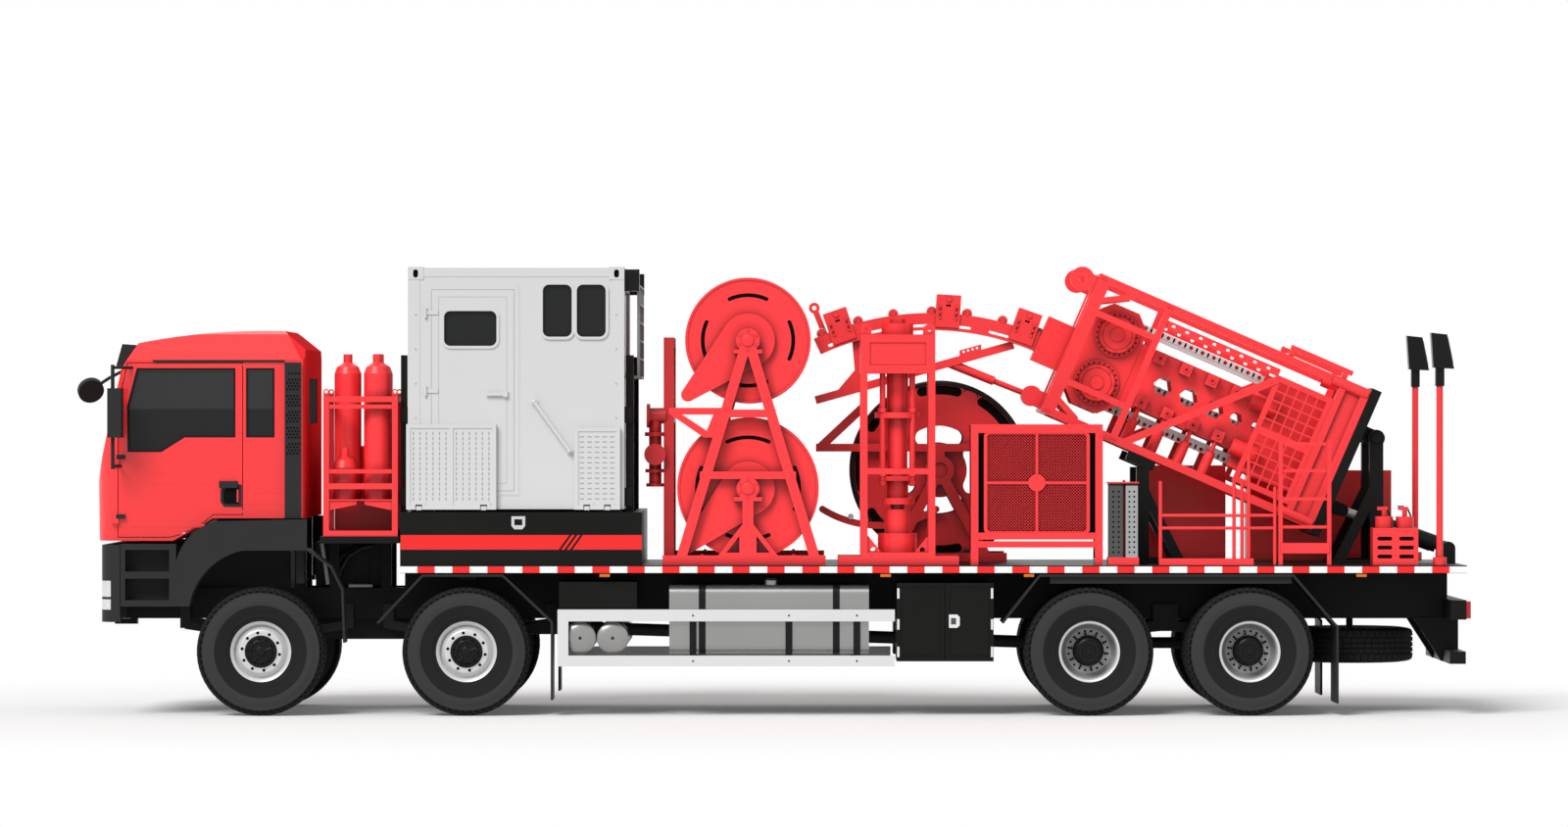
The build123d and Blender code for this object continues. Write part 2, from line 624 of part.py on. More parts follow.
QUARTER_X = (at(1275), at(1500))
with BuildPart() as cab_shell:
    add(cab_form(0))
    add(cab_form(CAB_WALL), mode=Mode.SUBTRACT)
    extrude(door_face(DOOR_GAP), amount=CAB_HALF + 200, both=True, mode=Mode.SUBTRACT)
    block(QUARTER_X, (-CAB_HALF - 100, CAB_HALF + 100), (BELT, 3025), mode=Mode.SUBTRACT)
    block(
        (CAB_FRONT - 50, at(330)),
        (-WINDSCREEN_HALF, WINDSCREEN_HALF),
        (WINDOW_SILL, WINDOW_HEAD),
        mode=Mode.SUBTRACT,
    )
    block((CAB_REAR - 150, CAB_REAR + 50), (-550, 550), (2550, 2950), mode=Mode.SUBTRACT)
    for hand in SIDES:
        for z in DOOR_HINGES:
            pin = (DOOR_HINGE_X, hand * DOOR_HINGE_Y)
            leaf = across(hand, DOOR_HINGE_Y - HINGE_R, DOOR_HINGE_Y + HINGE_R)
            root = across(hand, CAB_HALF - 40, DOOR_HINGE_Y + HINGE_R)
            block((DOOR_HINGE_X - 60, DOOR_FRONT - DOOR_GAP), root, (z - HINGE_HALF, z))
            block((DOOR_HINGE_X - 60, DOOR_HINGE_X), leaf, (z - HINGE_HALF, z))
            rod((*pin, z - HINGE_HALF), (*pin, z), HINGE_R)
            rod((*pin, z), (*pin, z + HINGE_HALF), HINGE_PIN_R)
save(cab_shell.part, "cab_shell")

with BuildPart() as cab_glass:
    add(cab_form(12))
    add(cab_form(24), mode=Mode.SUBTRACT)
    with BuildPart(mode=Mode.INTERSECT):
        block((QUARTER_X[0] + TOUCH, QUARTER_X[1] - TOUCH), (-2000, 2000), (BELT + TOUCH, 3025 - TOUCH))
        block(
            (CAB_FRONT - 50, at(330)),
            (TOUCH - WINDSCREEN_HALF, WINDSCREEN_HALF - TOUCH),
            (WINDOW_SILL + TOUCH, WINDOW_HEAD - TOUCH),
        )
        block((CAB_REAR - 150, CAB_REAR + 50), (TOUCH - 550, 550 - TOUCH), (2550 + TOUCH, 2950 - TOUCH))
save(cab_glass.part, "cab_glass")


def cab_door(hand):
    """Door with its window pane, mirror and handle."""
    with BuildPart() as door:
        extrude(door_face(0), amount=CAB_HALF, dir=(0, hand, 0))
        within = across(hand, -50, CAB_HALF - CAB_WALL)
        block((CAB_FRONT - 500, CAB_REAR + 500), within, (1000, 4000), mode=Mode.SUBTRACT)
        extrude(door_window(0), amount=CAB_HALF + 100, dir=(0, hand, 0), mode=Mode.SUBTRACT)
        block((at(1030), at(1190)), across(hand, CAB_HALF - 5, CAB_HALF + 35), (1990, 2050))
        for z in DOOR_HINGES:
            knuckle_z = (z + TOUCH, z + HINGE_HALF)
            pin = (DOOR_HINGE_X, hand * DOOR_HINGE_Y)
            root = across(hand, CAB_HALF - 25, DOOR_HINGE_Y + HINGE_R)
            leaf = across(hand, DOOR_HINGE_Y - HINGE_R, DOOR_HINGE_Y + HINGE_R)
            block((DOOR_FRONT + 5, DOOR_FRONT + 60), root, knuckle_z)
            block((DOOR_HINGE_X, DOOR_FRONT + 30), leaf, knuckle_z)
            rod((*pin, knuckle_z[0]), (*pin, knuckle_z[1]), HINGE_R)
            rod((*pin, z - 10), (*pin, z + HINGE_HALF + 10), HINGE_PIN_R + RUNNING_FIT, mode=Mode.SUBTRACT)
        for x, z in ((at(170), 2180), (at(270), 3040)):
            rod((x, hand * (CAB_HALF - 10), z), (at(120), hand * (CAB_HALF + 230), z), 13)
        rod((at(120), hand * (CAB_HALF + 230), 2155), (at(120), hand * (CAB_HALF + 230), 3065), 17)
        block((at(85), at(205)), across(hand, CAB_HALF + 130, CAB_HALF + 370), (2430, 2860))
    return door.part


def door_pane(hand):
    """Pane of a door's window."""
    with BuildPart() as pane:
        extrude(door_window(-TOUCH), amount=CAB_HALF - 25, dir=(0, hand, 0))
        within = across(hand, -50, CAB_HALF - 35)
        block((CAB_FRONT - 500, CAB_REAR + 500), within, (1000, 4000), mode=Mode.SUBTRACT)
    return pane.part


for hand, name in ((LEFT, "left"), (RIGHT, "right")):
    save(cab_door(hand), f"cab_door_{name}")
    save(door_pane(hand), f"cab_door_glass_{name}")

# Cab interior: dashboard, steering wheel and two seats on the floor
SEAT_FLOOR = CAB_BOTTOM_REAR + CAB_WALL
with BuildPart() as cab_interior:
    block((at(85), at(330)), (-1000, 1000), (1900, 2230))
    block((at(85), at(160)), (-1000, 1000), (CAB_BOTTOM + CAB_WALL, 1900))
    with Locations(Plane(origin=(at(480), -520, 2340), z_dir=(170, 0, 180))):
        Cylinder(215, 28)
        Cylinder(185, 40, mode=Mode.SUBTRACT)
        Box(380, 40, 20)
    rod((at(300), -520, 2150), (at(480), -520, 2340), 28)
    for hand in SIDES:
        seat_y = across(hand, 270, 780)
        block((at(1000), at(1560)), seat_y, (SEAT_FLOOR, SEAT_FLOOR + 320))
        block((at(1430), at(1560)), seat_y, (SEAT_FLOOR + 300, SEAT_FLOOR + 1020))
save(cab_interior.part, "cab_interior")

# Cab trim: sun visor, round front mirror on its arm, front grille, roof gutters and rear corner panels
GRILLE_SLOTS = (1690, 1770, 1850, 1930)
MIRROR_AXIS = Vector(0.3, -0.8, -0.5).normalized()
MIRROR_R = 118
MIRROR_DEPTH = 50
mirror_span = MIRROR_R * sqrt(1 - MIRROR_AXIS.X**2) + MIRROR_DEPTH / 2 * MIRROR_AXIS.X
mirror_middle = Vector(FRONT_X - MIRROR_REACH + mirror_span, 850, 2850)
with BuildPart() as cab_trim:
    with BuildSketch(side(0)):
        Polygon(
            (at(95), 3033), (at(174) - TOUCH, 3033), (at(300), 3240), (at(155), 3250), align=None,
        )
    extrude(amount=840, both=True)
    with Locations(Plane(origin=mirror_middle, z_dir=MIRROR_AXIS)):
        Cylinder(MIRROR_R, MIRROR_DEPTH)
    rod(mirror_middle, (at(-120), 820, 2960), 15)
    with Locations((at(-120), 820, 2960)):
        Sphere(15)
    rod((at(-120), 820, 2960), (at(130), 800, 3090), 15)
    for hand in SIDES:
        block((at(1605), at(1743)), across(hand, CAB_HALF + TOUCH, CAB_HALF + 70), (CAB_BOTTOM_REAR, 3085))
        block((at(450), at(1600)), across(hand, CAB_HALF + TOUCH, CAB_HALF + 14), (3088, 3108))
    block((CAB_FRONT - 16, CAB_FRONT - TOUCH), (-720, 720), (1640, 2035))
    for z in GRILLE_SLOTS:
        block((CAB_FRONT - 30, CAB_FRONT + 5), (-650, 650), (z, z + 50), mode=Mode.SUBTRACT)
save(cab_trim.part, "cab_trim")

# Gas bottles standing in the rack
BOTTLES = (
    (at(2134), -800, 118, 3100), (at(2406), -1030, 118, 3100),
    (at(2406), -740, 118, 3100), (at(2120), -1050, 105, 2280),
)
BOTTLE_FOOT = 1890
with BuildPart() as gas_bottles:
    for x, y, radius, top in BOTTLES:
        with BuildSketch(Plane(origin=(x, y, BOTTLE_FOOT), x_dir=(1, 0, 0), z_dir=(0, -1, 0))):
            height = top - BOTTLE_FOOT
            Polygon(
                (0, 0), (radius, 0), (radius, height - 110), (radius * 0.8, height - 50),
                (radius * 0.4, height - 20), (40, height - 10), (40, height + 60), (0, height + 60),
                align=None,
            )
        revolve(axis=Axis((x, y, 0), (0, 0, 1)))
save(gas_bottles.part, "gas_bottles")

# Closed cases and tanks: behind the cab on the right, and along the right edge of the deck
CASES = (
    ((at(1990), at(2560)), (-380, 1200), (PLATFORM_TOP, 2350)),
    ((at(9238), at(9947)), (850, 1200), (DECK_TOP, 2171)),
    ((at(10141), at(11442)), (850, 1200), (DECK_TOP, 2127)),
)
with BuildPart() as equipment_cases:
    for x, y, z in CASES:
        block(x, y, z)
save(equipment_cases.part, "equipment_cases")

# Cabin base: skirt round the lift with its latch plates, and four guide posts
POST_TOP = 3150
GUIDE_Y = (1000, 1100)
LATCH_X = (at(3587), at(3707))
with BuildPart() as cabin_base:
    block((BASE_FRONT + 20, BASE_REAR), (-BASE_HALF, BASE_HALF), (DECK_TOP, BASE_TOP))
    block(
        (BASE_FRONT + 100, BASE_REAR - 80),
        (-BASE_HALF + 60, BASE_HALF - 60),
        (DECK_TOP - 5, BASE_TOP + 5),
        mode=Mode.SUBTRACT,
    )
    for hand in SIDES:
        for x in ((BASE_FRONT + 20, CABIN_FRONT - 12), (CABIN_REAR + 12, CABIN_REAR + 80)):
            block(x, across(hand, *GUIDE_Y), (DECK_TOP, POST_TOP))
        for x in ((CABIN_FRONT + 30, CABIN_FRONT + 230), (CABIN_REAR - 230, CABIN_REAR - 30)):
            block(x, across(hand, 1000, CABIN_HALF - 15), (BASE_TOP - 120, CABIN_BOTTOM - TOUCH))
            block(x, across(hand, 1000, BASE_HALF - 30), (BASE_TOP - 120, BASE_TOP))
        with BuildSketch(side(hand * BASE_HALF)):
            Polygon(
                (LATCH_X[0], 1743), (LATCH_X[1], 1743), (LATCH_X[1], 1660), (LATCH_X[1] - 25, 1630),
                (LATCH_X[0] + 25, 1630), (LATCH_X[0], 1660), align=None,
            )
            area((LATCH_X[0] + 25, LATCH_X[1] - 25), (1665, 1718), mode=Mode.SUBTRACT)
        extrude(amount=6, both=True)
save(cabin_base.part, "cabin_base")

# Control cabin: hollow walls with door and window openings, frames, corner castings and guide shoes
CABIN_DOOR_X = (at(2886), at(3608))
CABIN_DOOR_Z = (1965, 3721)
DOOR_LIGHT_X = (at(2997), at(3455))
DOOR_LIGHT_Z = (3230, 3535)
SIDE_LIGHT_X = (at(3859), at(4408))
SIDE_LIGHT_Z = (3310, 3765)
LIGHT_BAR = 44
LIGHT_R = 55
LIGHT_RIM = 24
REAR_LIGHT_Y = (-850, 850)
REAR_LIGHT_Z = (3000, 3720)
PROUD = 4
GRAB_ENDS = ((at(3784), 2743), (at(4092), 2315))
GRAB_Y = -CABIN_HALF - 38
light_bar_x = sum(SIDE_LIGHT_X) / 2
SIDE_PANES = ((SIDE_LIGHT_X[0], light_bar_x - LIGHT_BAR / 2), (light_bar_x + LIGHT_BAR / 2, SIDE_LIGHT_X[1]))


def light_face(y, x, z, grow):
    """Rounded window outline on a wall, larger by grow."""
    with BuildSketch(side(y)) as face:
        with Locations(((x[0] + x[1]) / 2, (z[0] + z[1]) / 2)):
            RectangleRounded(x[1] - x[0] + 2 * grow, z[1] - z[0] + 2 * grow, LIGHT_R + grow)
    return face.sketch


with BuildPart() as cabin_shell:
    block((CABIN_FRONT, CABIN_REAR), (-CABIN_HALF, CABIN_HALF), (CABIN_BOTTOM, CABIN_TOP - 8))
    for hand in SIDES:
        face = across(hand, CABIN_HALF - 5, CABIN_HALF + PROUD)
        for x in ((CABIN_FRONT, CABIN_FRONT + 105), (CABIN_REAR - 105, CABIN_REAR)):
            block(x, face, (CABIN_BOTTOM, CABIN_TOP - 60))
        for z in ((CABIN_BOTTOM, CABIN_BOTTOM + 90), (CABIN_TOP - 85, CABIN_TOP - 20)):
            block((CABIN_FRONT, CABIN_REAR), face, z)
        for x in SIDE_PANES:
            extrude(light_face(hand * CABIN_HALF, x, SIDE_LIGHT_Z, LIGHT_RIM), amount=16, both=True)
    block(
        (CABIN_DOOR_X[0] - 45, CABIN_DOOR_X[1] + 45),
        (-CABIN_HALF - PROUD, -CABIN_HALF + 5),
        (CABIN_DOOR_Z[0] - 40, CABIN_DOOR_Z[1] + 45),
    )
    block(
        (CABIN_FRONT + CABIN_WALL, CABIN_REAR - CABIN_WALL),
        (-CABIN_HALF + CABIN_WALL, CABIN_HALF - CABIN_WALL),
        (CABIN_BOTTOM + 80, CABIN_TOP - 70),
        mode=Mode.SUBTRACT,
    )
    block(CABIN_DOOR_X, (-CABIN_HALF - 50, -CABIN_HALF + 100), CABIN_DOOR_Z, mode=Mode.SUBTRACT)
    block((CABIN_REAR - 100, CABIN_REAR + 100), REAR_LIGHT_Y, REAR_LIGHT_Z, mode=Mode.SUBTRACT)
    for hand in SIDES:
        for x in SIDE_PANES:
            opening = light_face(hand * CABIN_HALF, x, SIDE_LIGHT_Z, 0)
            extrude(opening, amount=80, both=True, mode=Mode.SUBTRACT)
        for x in ((CABIN_FRONT, CABIN_FRONT + 135), (CABIN_REAR - 135, CABIN_REAR)):
            block(x, across(hand, CABIN_HALF - 120, CABIN_HALF + 8), (CABIN_TOP - 110, CABIN_TOP))
            with BuildSketch(side(hand * (CABIN_HALF + 8))):
                with Locations((sum(x) / 2, CABIN_TOP - 58)):
                    SlotOverall(72, 44, rotation=90)
            extrude(amount=hand * 25, mode=Mode.SUBTRACT)
        for z in ((CABIN_BOTTOM + 25, CABIN_BOTTOM + 185), (2560, 2700)):
            for x in ((CABIN_FRONT - 70, CABIN_FRONT + 5), (CABIN_REAR - 5, CABIN_REAR + 70)):
                block(x, across(hand, GUIDE_Y[0] - 45, GUIDE_Y[0] - 6), z)
                block(x, across(hand, GUIDE_Y[1] + 6, GUIDE_Y[1] + 45), z)
    rod((GRAB_ENDS[0][0], GRAB_Y, GRAB_ENDS[0][1]), (GRAB_ENDS[1][0], GRAB_Y, GRAB_ENDS[1][1]), 18)
    for x, z in GRAB_ENDS:
        with Locations((x, GRAB_Y, z)):
            Sphere(21)
        rod((x, GRAB_Y, z), (x, -CABIN_HALF + 5, z), 16)
        rod((x, -CABIN_HALF - 9, z), (x, -CABIN_HALF + 5, z), 36)
    for name, x_low, x_high, height in WALKWAYS:
        for x in (x_low + WALKWAY_HINGE_INSET, x_high - WALKWAY_HINGE_INSET):
            block(
                (x - 24, x + 24),
                (WALKWAY_HINGE_Y - 13, -CABIN_HALF + 5),
                (WALKWAY_HINGE_Z - 17, WALKWAY_HINGE_Z + 17),
            )
            pin = (WALKWAY_HINGE_Y, WALKWAY_HINGE_Z)
            rod((x - WALKWAY_PIN_HALF, *pin), (x + WALKWAY_PIN_HALF, *pin), WALKWAY_PIN_R)
save(cabin_shell.part, "cabin_shell")

STRAP_HINGES = (2836, 3520)
with BuildPart() as cabin_door:
    block(
        (CABIN_DOOR_X[0] + TOUCH, CABIN_DOOR_X[1] - TOUCH),
        (-CABIN_HALF - PROUD, -CABIN_HALF + CABIN_WALL),
        (CABIN_DOOR_Z[0] + TOUCH, CABIN_DOOR_Z[1] - TOUCH),
    )
    extrude(light_face(-CABIN_HALF - PROUD, DOOR_LIGHT_X, DOOR_LIGHT_Z, LIGHT_RIM), amount=12, both=True)
    extrude(light_face(-CABIN_HALF, DOOR_LIGHT_X, DOOR_LIGHT_Z, 0), amount=80, both=True, mode=Mode.SUBTRACT)
    strap_face = -CABIN_HALF - PROUD - TOUCH
    for z in STRAP_HINGES:
        block((CABIN_DOOR_X[0] - 65, CABIN_DOOR_X[0] + 60), (strap_face - 10, strap_face), (z - 16, z + 16))
        block((CABIN_DOOR_X[0] + 5, CABIN_DOOR_X[0] + 55), (strap_face - 5, -CABIN_HALF), (z - 12, z + 12))
        hinge_x = CABIN_DOOR_X[0] - 50
        rod((hinge_x, strap_face - 14, z - 42), (hinge_x, strap_face - 14, z + 42), 13)
    handle_x = CABIN_DOOR_X[1] - 75
    block((handle_x - 20, handle_x + 20), (-CABIN_HALF - 34, -CABIN_HALF), (2785, 2836))
    block((handle_x - 170, handle_x + 20), (-CABIN_HALF - 34, -CABIN_HALF - 20), (2796, 2824))
save(cabin_door.part, "cabin_door")

with BuildPart() as cabin_glass:
    extrude(light_face(-CABIN_HALF + 24, DOOR_LIGHT_X, DOOR_LIGHT_Z, -TOUCH), amount=6, both=True)
    for hand in SIDES:
        for x in SIDE_PANES:
            extrude(light_face(hand * (CABIN_HALF - 24), x, SIDE_LIGHT_Z, -TOUCH), amount=6, both=True)
    block(
        (CABIN_REAR - 30, CABIN_REAR - 18),
        (REAR_LIGHT_Y[0] + TOUCH, REAR_LIGHT_Y[1] - TOUCH),
        (REAR_LIGHT_Z[0] + TOUCH, REAR_LIGHT_Z[1] - TOUCH),
    )
save(cabin_glass.part, "cabin_glass")

# Cabin fittings: lamps and window guard on the rear wall, console and seat inside
GUARD_DEPTH = 130
with BuildPart() as cabin_fittings:
    for hand in SIDES:
        block((CABIN_REAR, CABIN_REAR + 130), across(hand, 960, 1120), (3710, 3900))
    for y in (-900, -300, 300, 900):
        for z in (2960, 3760):
            block((CABIN_REAR, CABIN_REAR + GUARD_DEPTH), (y - 12, y + 12), (z - 12, z + 12))
        block((CABIN_REAR + GUARD_DEPTH - 24, CABIN_REAR + GUARD_DEPTH), (y - 12, y + 12), (2948, 3772))
    for z in (2960, 3120, 3280, 3440, 3600, 3760):
        block((CABIN_REAR + GUARD_DEPTH - 24, CABIN_REAR + GUARD_DEPTH), (-912, 912), (z - 8, z + 8))
    cabin_floor = CABIN_BOTTOM + 80
    block((CABIN_REAR - 500, CABIN_REAR - CABIN_WALL), (-900, 900), (cabin_floor, cabin_floor + 900))
    for y in (-450, 450):
        block((CABIN_REAR - 1250, CABIN_REAR - 750), (y - 250, y + 250), (cabin_floor, cabin_floor + 480))
        back_x = (CABIN_REAR - 1250, CABIN_REAR - 1130)
        block(back_x, (y - 250, y + 250), (cabin_floor + 470, cabin_floor + 1100))
save(cabin_fittings.part, "cabin_fittings")

# Folding walkways on the cabin's left wall, hinged along their lower edges


def walkway(x_low, x_high, height):
    """Framed tread panel standing folded against the wall."""
    y_low = -CABIN_HALF - 10 - WALKWAY_DEPTH
    z_low = WALKWAY_BOTTOM
    with BuildPart() as panel:
        block((x_low, x_high), (y_low, y_low + WALKWAY_DEPTH), (z_low, z_low + height))
        inside = ((x_low + 35, x_high - 35), (z_low + 35, z_low + height - 35))
        block(inside[0], (y_low + 20, y_low + 100), inside[1], mode=Mode.SUBTRACT)
        block(inside[0], (y_low - 5, y_low + 8), inside[1], mode=Mode.SUBTRACT)
        if x_high - x_low > 500:
            middle = (x_low + x_high) / 2
            block((middle - 17, middle + 17), (y_low, y_low + WALKWAY_DEPTH), (z_low, z_low + height))
        for x in (x_low + WALKWAY_HINGE_INSET, x_high - WALKWAY_HINGE_INSET):
            block((x - 60, x + 60), (y_low, y_low + WALKWAY_DEPTH), (z_low, z_low + 60))
            notch_z = (z_low - 5, WALKWAY_HINGE_Z + 32)
            block((x - 30, x + 30), (y_low - 5, y_low + 60), notch_z, mode=Mode.SUBTRACT)
            pin = (WALKWAY_HINGE_Y, WALKWAY_HINGE_Z)
            reach = WALKWAY_PIN_HALF + 2
            rod((x - reach, *pin), (x + reach, *pin), WALKWAY_PIN_R + RUNNING_FIT, mode=Mode.SUBTRACT)
    return panel.part


for name, x_low, x_high, height in WALKWAYS:
    save(walkway(x_low, x_high, height), name)

# Reel stand: an A-frame on each side, base skid, bearing posts and the manifold ahead of the reels
STAND_FEET = (HOSE_REEL_X - 590, HOSE_REEL_X + 590)
STAND_BASE = (at(4903), at(6328))
# Offset of each chain guard's far end from its reel's shaft
CHAIN_GUARDS = ((UPPER_REEL_Z, (-525, -475)), (LOWER_REEL_Z, (-525, -510)))
GUARD_FACE = REEL_FACE + 15
with BuildPart() as reel_stand:
    for hand in SIDES:
        with BuildSketch(side(hand * STAND_HALF)):
            for foot in STAND_FEET:
                stroke((foot, DECK_TOP + 40), (HOSE_REEL_X, UPPER_REEL_Z + 20), 88)
            for z, size in ((UPPER_REEL_Z, 105), (LOWER_REEL_Z, 100)):
                with Locations((HOSE_REEL_X, z)):
                    Circle(size)
                area((HOSE_REEL_X - 125, HOSE_REEL_X + 125), (z - size - 10, z - size + 25))
            stroke((HOSE_REEL_X - 240, 2640), (HOSE_REEL_X + 240, 2640), 70)
            stroke((HOSE_REEL_X - 420, 2101), (HOSE_REEL_X + 420, 2101), 66)
            area((HOSE_REEL_X - 48, HOSE_REEL_X + 48), (DECK_TOP + 20, LOWER_REEL_Z))
            for turn in (-1, 1):
                Polygon(
                    (HOSE_REEL_X, DECK_TOP + 60), (HOSE_REEL_X + turn * 280, DECK_TOP + 60),
                    (HOSE_REEL_X, DECK_TOP + 420), align=None,
                )
                Polygon(
                    (HOSE_REEL_X + turn * 75, DECK_TOP + 110), (HOSE_REEL_X + turn * 190, DECK_TOP + 110),
                    (HOSE_REEL_X + turn * 75, DECK_TOP + 255), align=None, mode=Mode.SUBTRACT,
                )
            area(STAND_BASE, (DECK_TOP, DECK_TOP + 85))
            for z in (UPPER_REEL_Z, LOWER_REEL_Z):
                with Locations((HOSE_REEL_X, z)):
                    Circle(REEL_SHAFT_R + RUNNING_FIT, mode=Mode.SUBTRACT)
        extrude(amount=hand * STAND_DEPTH)
    with BuildSketch(side(-STAND_HALF)):
        Polygon(
            (HOSE_REEL_X - 690, 2690), (HOSE_REEL_X - 690, 2640), (HOSE_REEL_X - 384, 2430),
            (HOSE_REEL_X - 299, 2430), (HOSE_REEL_X - 214, 2690), align=None,
        )
        Polygon(
            (HOSE_REEL_X - 574, 2630), (HOSE_REEL_X - 304, 2630), (HOSE_REEL_X - 360, 2490), align=None,
            mode=Mode.SUBTRACT,
        )
    extrude(amount=-STAND_DEPTH)
    for z, (reach, drop) in CHAIN_GUARDS:
        with BuildSketch(side(-GUARD_FACE)):
            with Locations((HOSE_REEL_X, z)):
                Circle(REEL_HUB_R)
            with Locations((HOSE_REEL_X + reach, z + drop)):
                Circle(60)
            make_hull()
            with Locations((HOSE_REEL_X, z)):
                Circle(REEL_SHAFT_R + 6, mode=Mode.SUBTRACT)
        extrude(amount=STAND_HALF - STAND_DEPTH - GUARD_FACE + 4)
    for x in (STAND_BASE[0], STAND_BASE[1] - 90):
        block((x + 5, x + 85), (-STAND_HALF + 45, STAND_HALF - 45), (DECK_TOP, DECK_TOP + 45))
    for y in (-520, 520):
        block((STAND_BASE[0], STAND_BASE[0] + 90), (y - 45, y + 45), (DECK_TOP, 3311))
    block((STAND_BASE[0], STAND_BASE[0] + 90), (-565, 565), (3230, 3311))
    block((STAND_BASE[0], STAND_BASE[0] + 90), (-565, 565), (2560, 2640))
    manifold_x = STAND_BASE[0] - 75
    rod((STAND_BASE[0] + 20, -520, 2620), (STAND_BASE[0] - 120, -520, 2620), 70)
    rod((STAND_BASE[0] - 120, -520, 2620), (STAND_BASE[0] - 150, -520, 2620), 105)
    rod((manifold_x, -520, 2620), (manifold_x, -520, 2000), 55)
    for low, high, radius in ((2440, 2475, 92), (2230, 2330, 70), (2120, 2150, 88), (1995, 2025, 80)):
        rod((manifold_x, -520, low), (manifold_x, -520, high), radius)
    rod((manifold_x, -520, 2280), (manifold_x, -640, 2280), 30)
    rod((manifold_x, -640, 2280), (manifold_x, -655, 2280), 95)
save(reel_stand.part, "reel_stand")


def hose_reel(z, radius):
    """Reel of four flanges on a drum, with slotted and rimmed end faces and the shaft in the stand."""
    axis = Axis((HOSE_REEL_X, 0, z), (0, 1, 0))
    with BuildPart() as reel:
        with BuildSketch(Plane(origin=(HOSE_REEL_X, 0, z), x_dir=(0, 1, 0), z_dir=(1, 0, 0))):
            area((-STAND_HALF, STAND_HALF), (0, REEL_SHAFT_R))
            area((-REEL_HALF, REEL_HALF), (0, radius * 0.78))
            for y in (-REEL_HALF, -REEL_HALF / 3, REEL_HALF / 3, REEL_HALF):
                area((y - 20, y + 20), (0, radius))
            area((-REEL_FACE - 8, REEL_FACE + 8), (radius - 22, radius))
            area((-REEL_HALF + 20, REEL_HALF - 20), (radius - 30, radius + 5), mode=Mode.SUBTRACT)
            for y in (-REEL_HALF / 3, REEL_HALF / 3):
                area((y - 20, y + 20), (0, radius))
            area((-REEL_FACE - 6, REEL_FACE + 6), (0, REEL_HUB_R))
        revolve(axis=axis)
        for hand in SIDES:
            with BuildSketch(side(hand * REEL_FACE)):
                arc_slots((HOSE_REEL_X, z), radius * 0.72, 34, 24, (0, 90, 180, 270))
            extrude(amount=hand * 15, mode=Mode.SUBTRACT)
    return reel.part


save(hose_reel(UPPER_REEL_Z, UPPER_REEL_R), "upper_reel")
save(hose_reel(LOWER_REEL_Z, LOWER_REEL_R), "lower_reel")

# Large reel and its stand
LARGE_SHAFT_R = 70
LARGE_CORE_R = 420
LARGE_DRUM_R = 690
with BuildPart() as large_reel:
    low, high = LARGE_REEL_Y
    with BuildSketch(Plane(origin=(LARGE_REEL_X, 0, LARGE_REEL_Z), x_dir=(0, 1, 0), z_dir=(1, 0, 0))):
        area((low - 100, high + 100), (0, LARGE_SHAFT_R))
        area((low, high), (0, 150))
        area((low, high), (LARGE_CORE_R, LARGE_DRUM_R))
        for y in (low, high):
            area((y - 22, y + 22), (0, LARGE_REEL_R))
    revolve(axis=Axis((LARGE_REEL_X, 0, LARGE_REEL_Z), (0, 1, 0)))
    with BuildSketch(side(low - 22)):
        arc_slots((LARGE_REEL_X, LARGE_REEL_Z), 715, 80, 13, range(0, 360, 45))
    extrude(amount=-15, mode=Mode.SUBTRACT)
    with BuildSketch(side(low - 30)):
        arc_slots((LARGE_REEL_X, LARGE_REEL_Z), 320, 150, 26, range(0, 360, 90))
    extrude(amount=low - high - 60, mode=Mode.SUBTRACT)
save(large_reel.part, "large_reel")

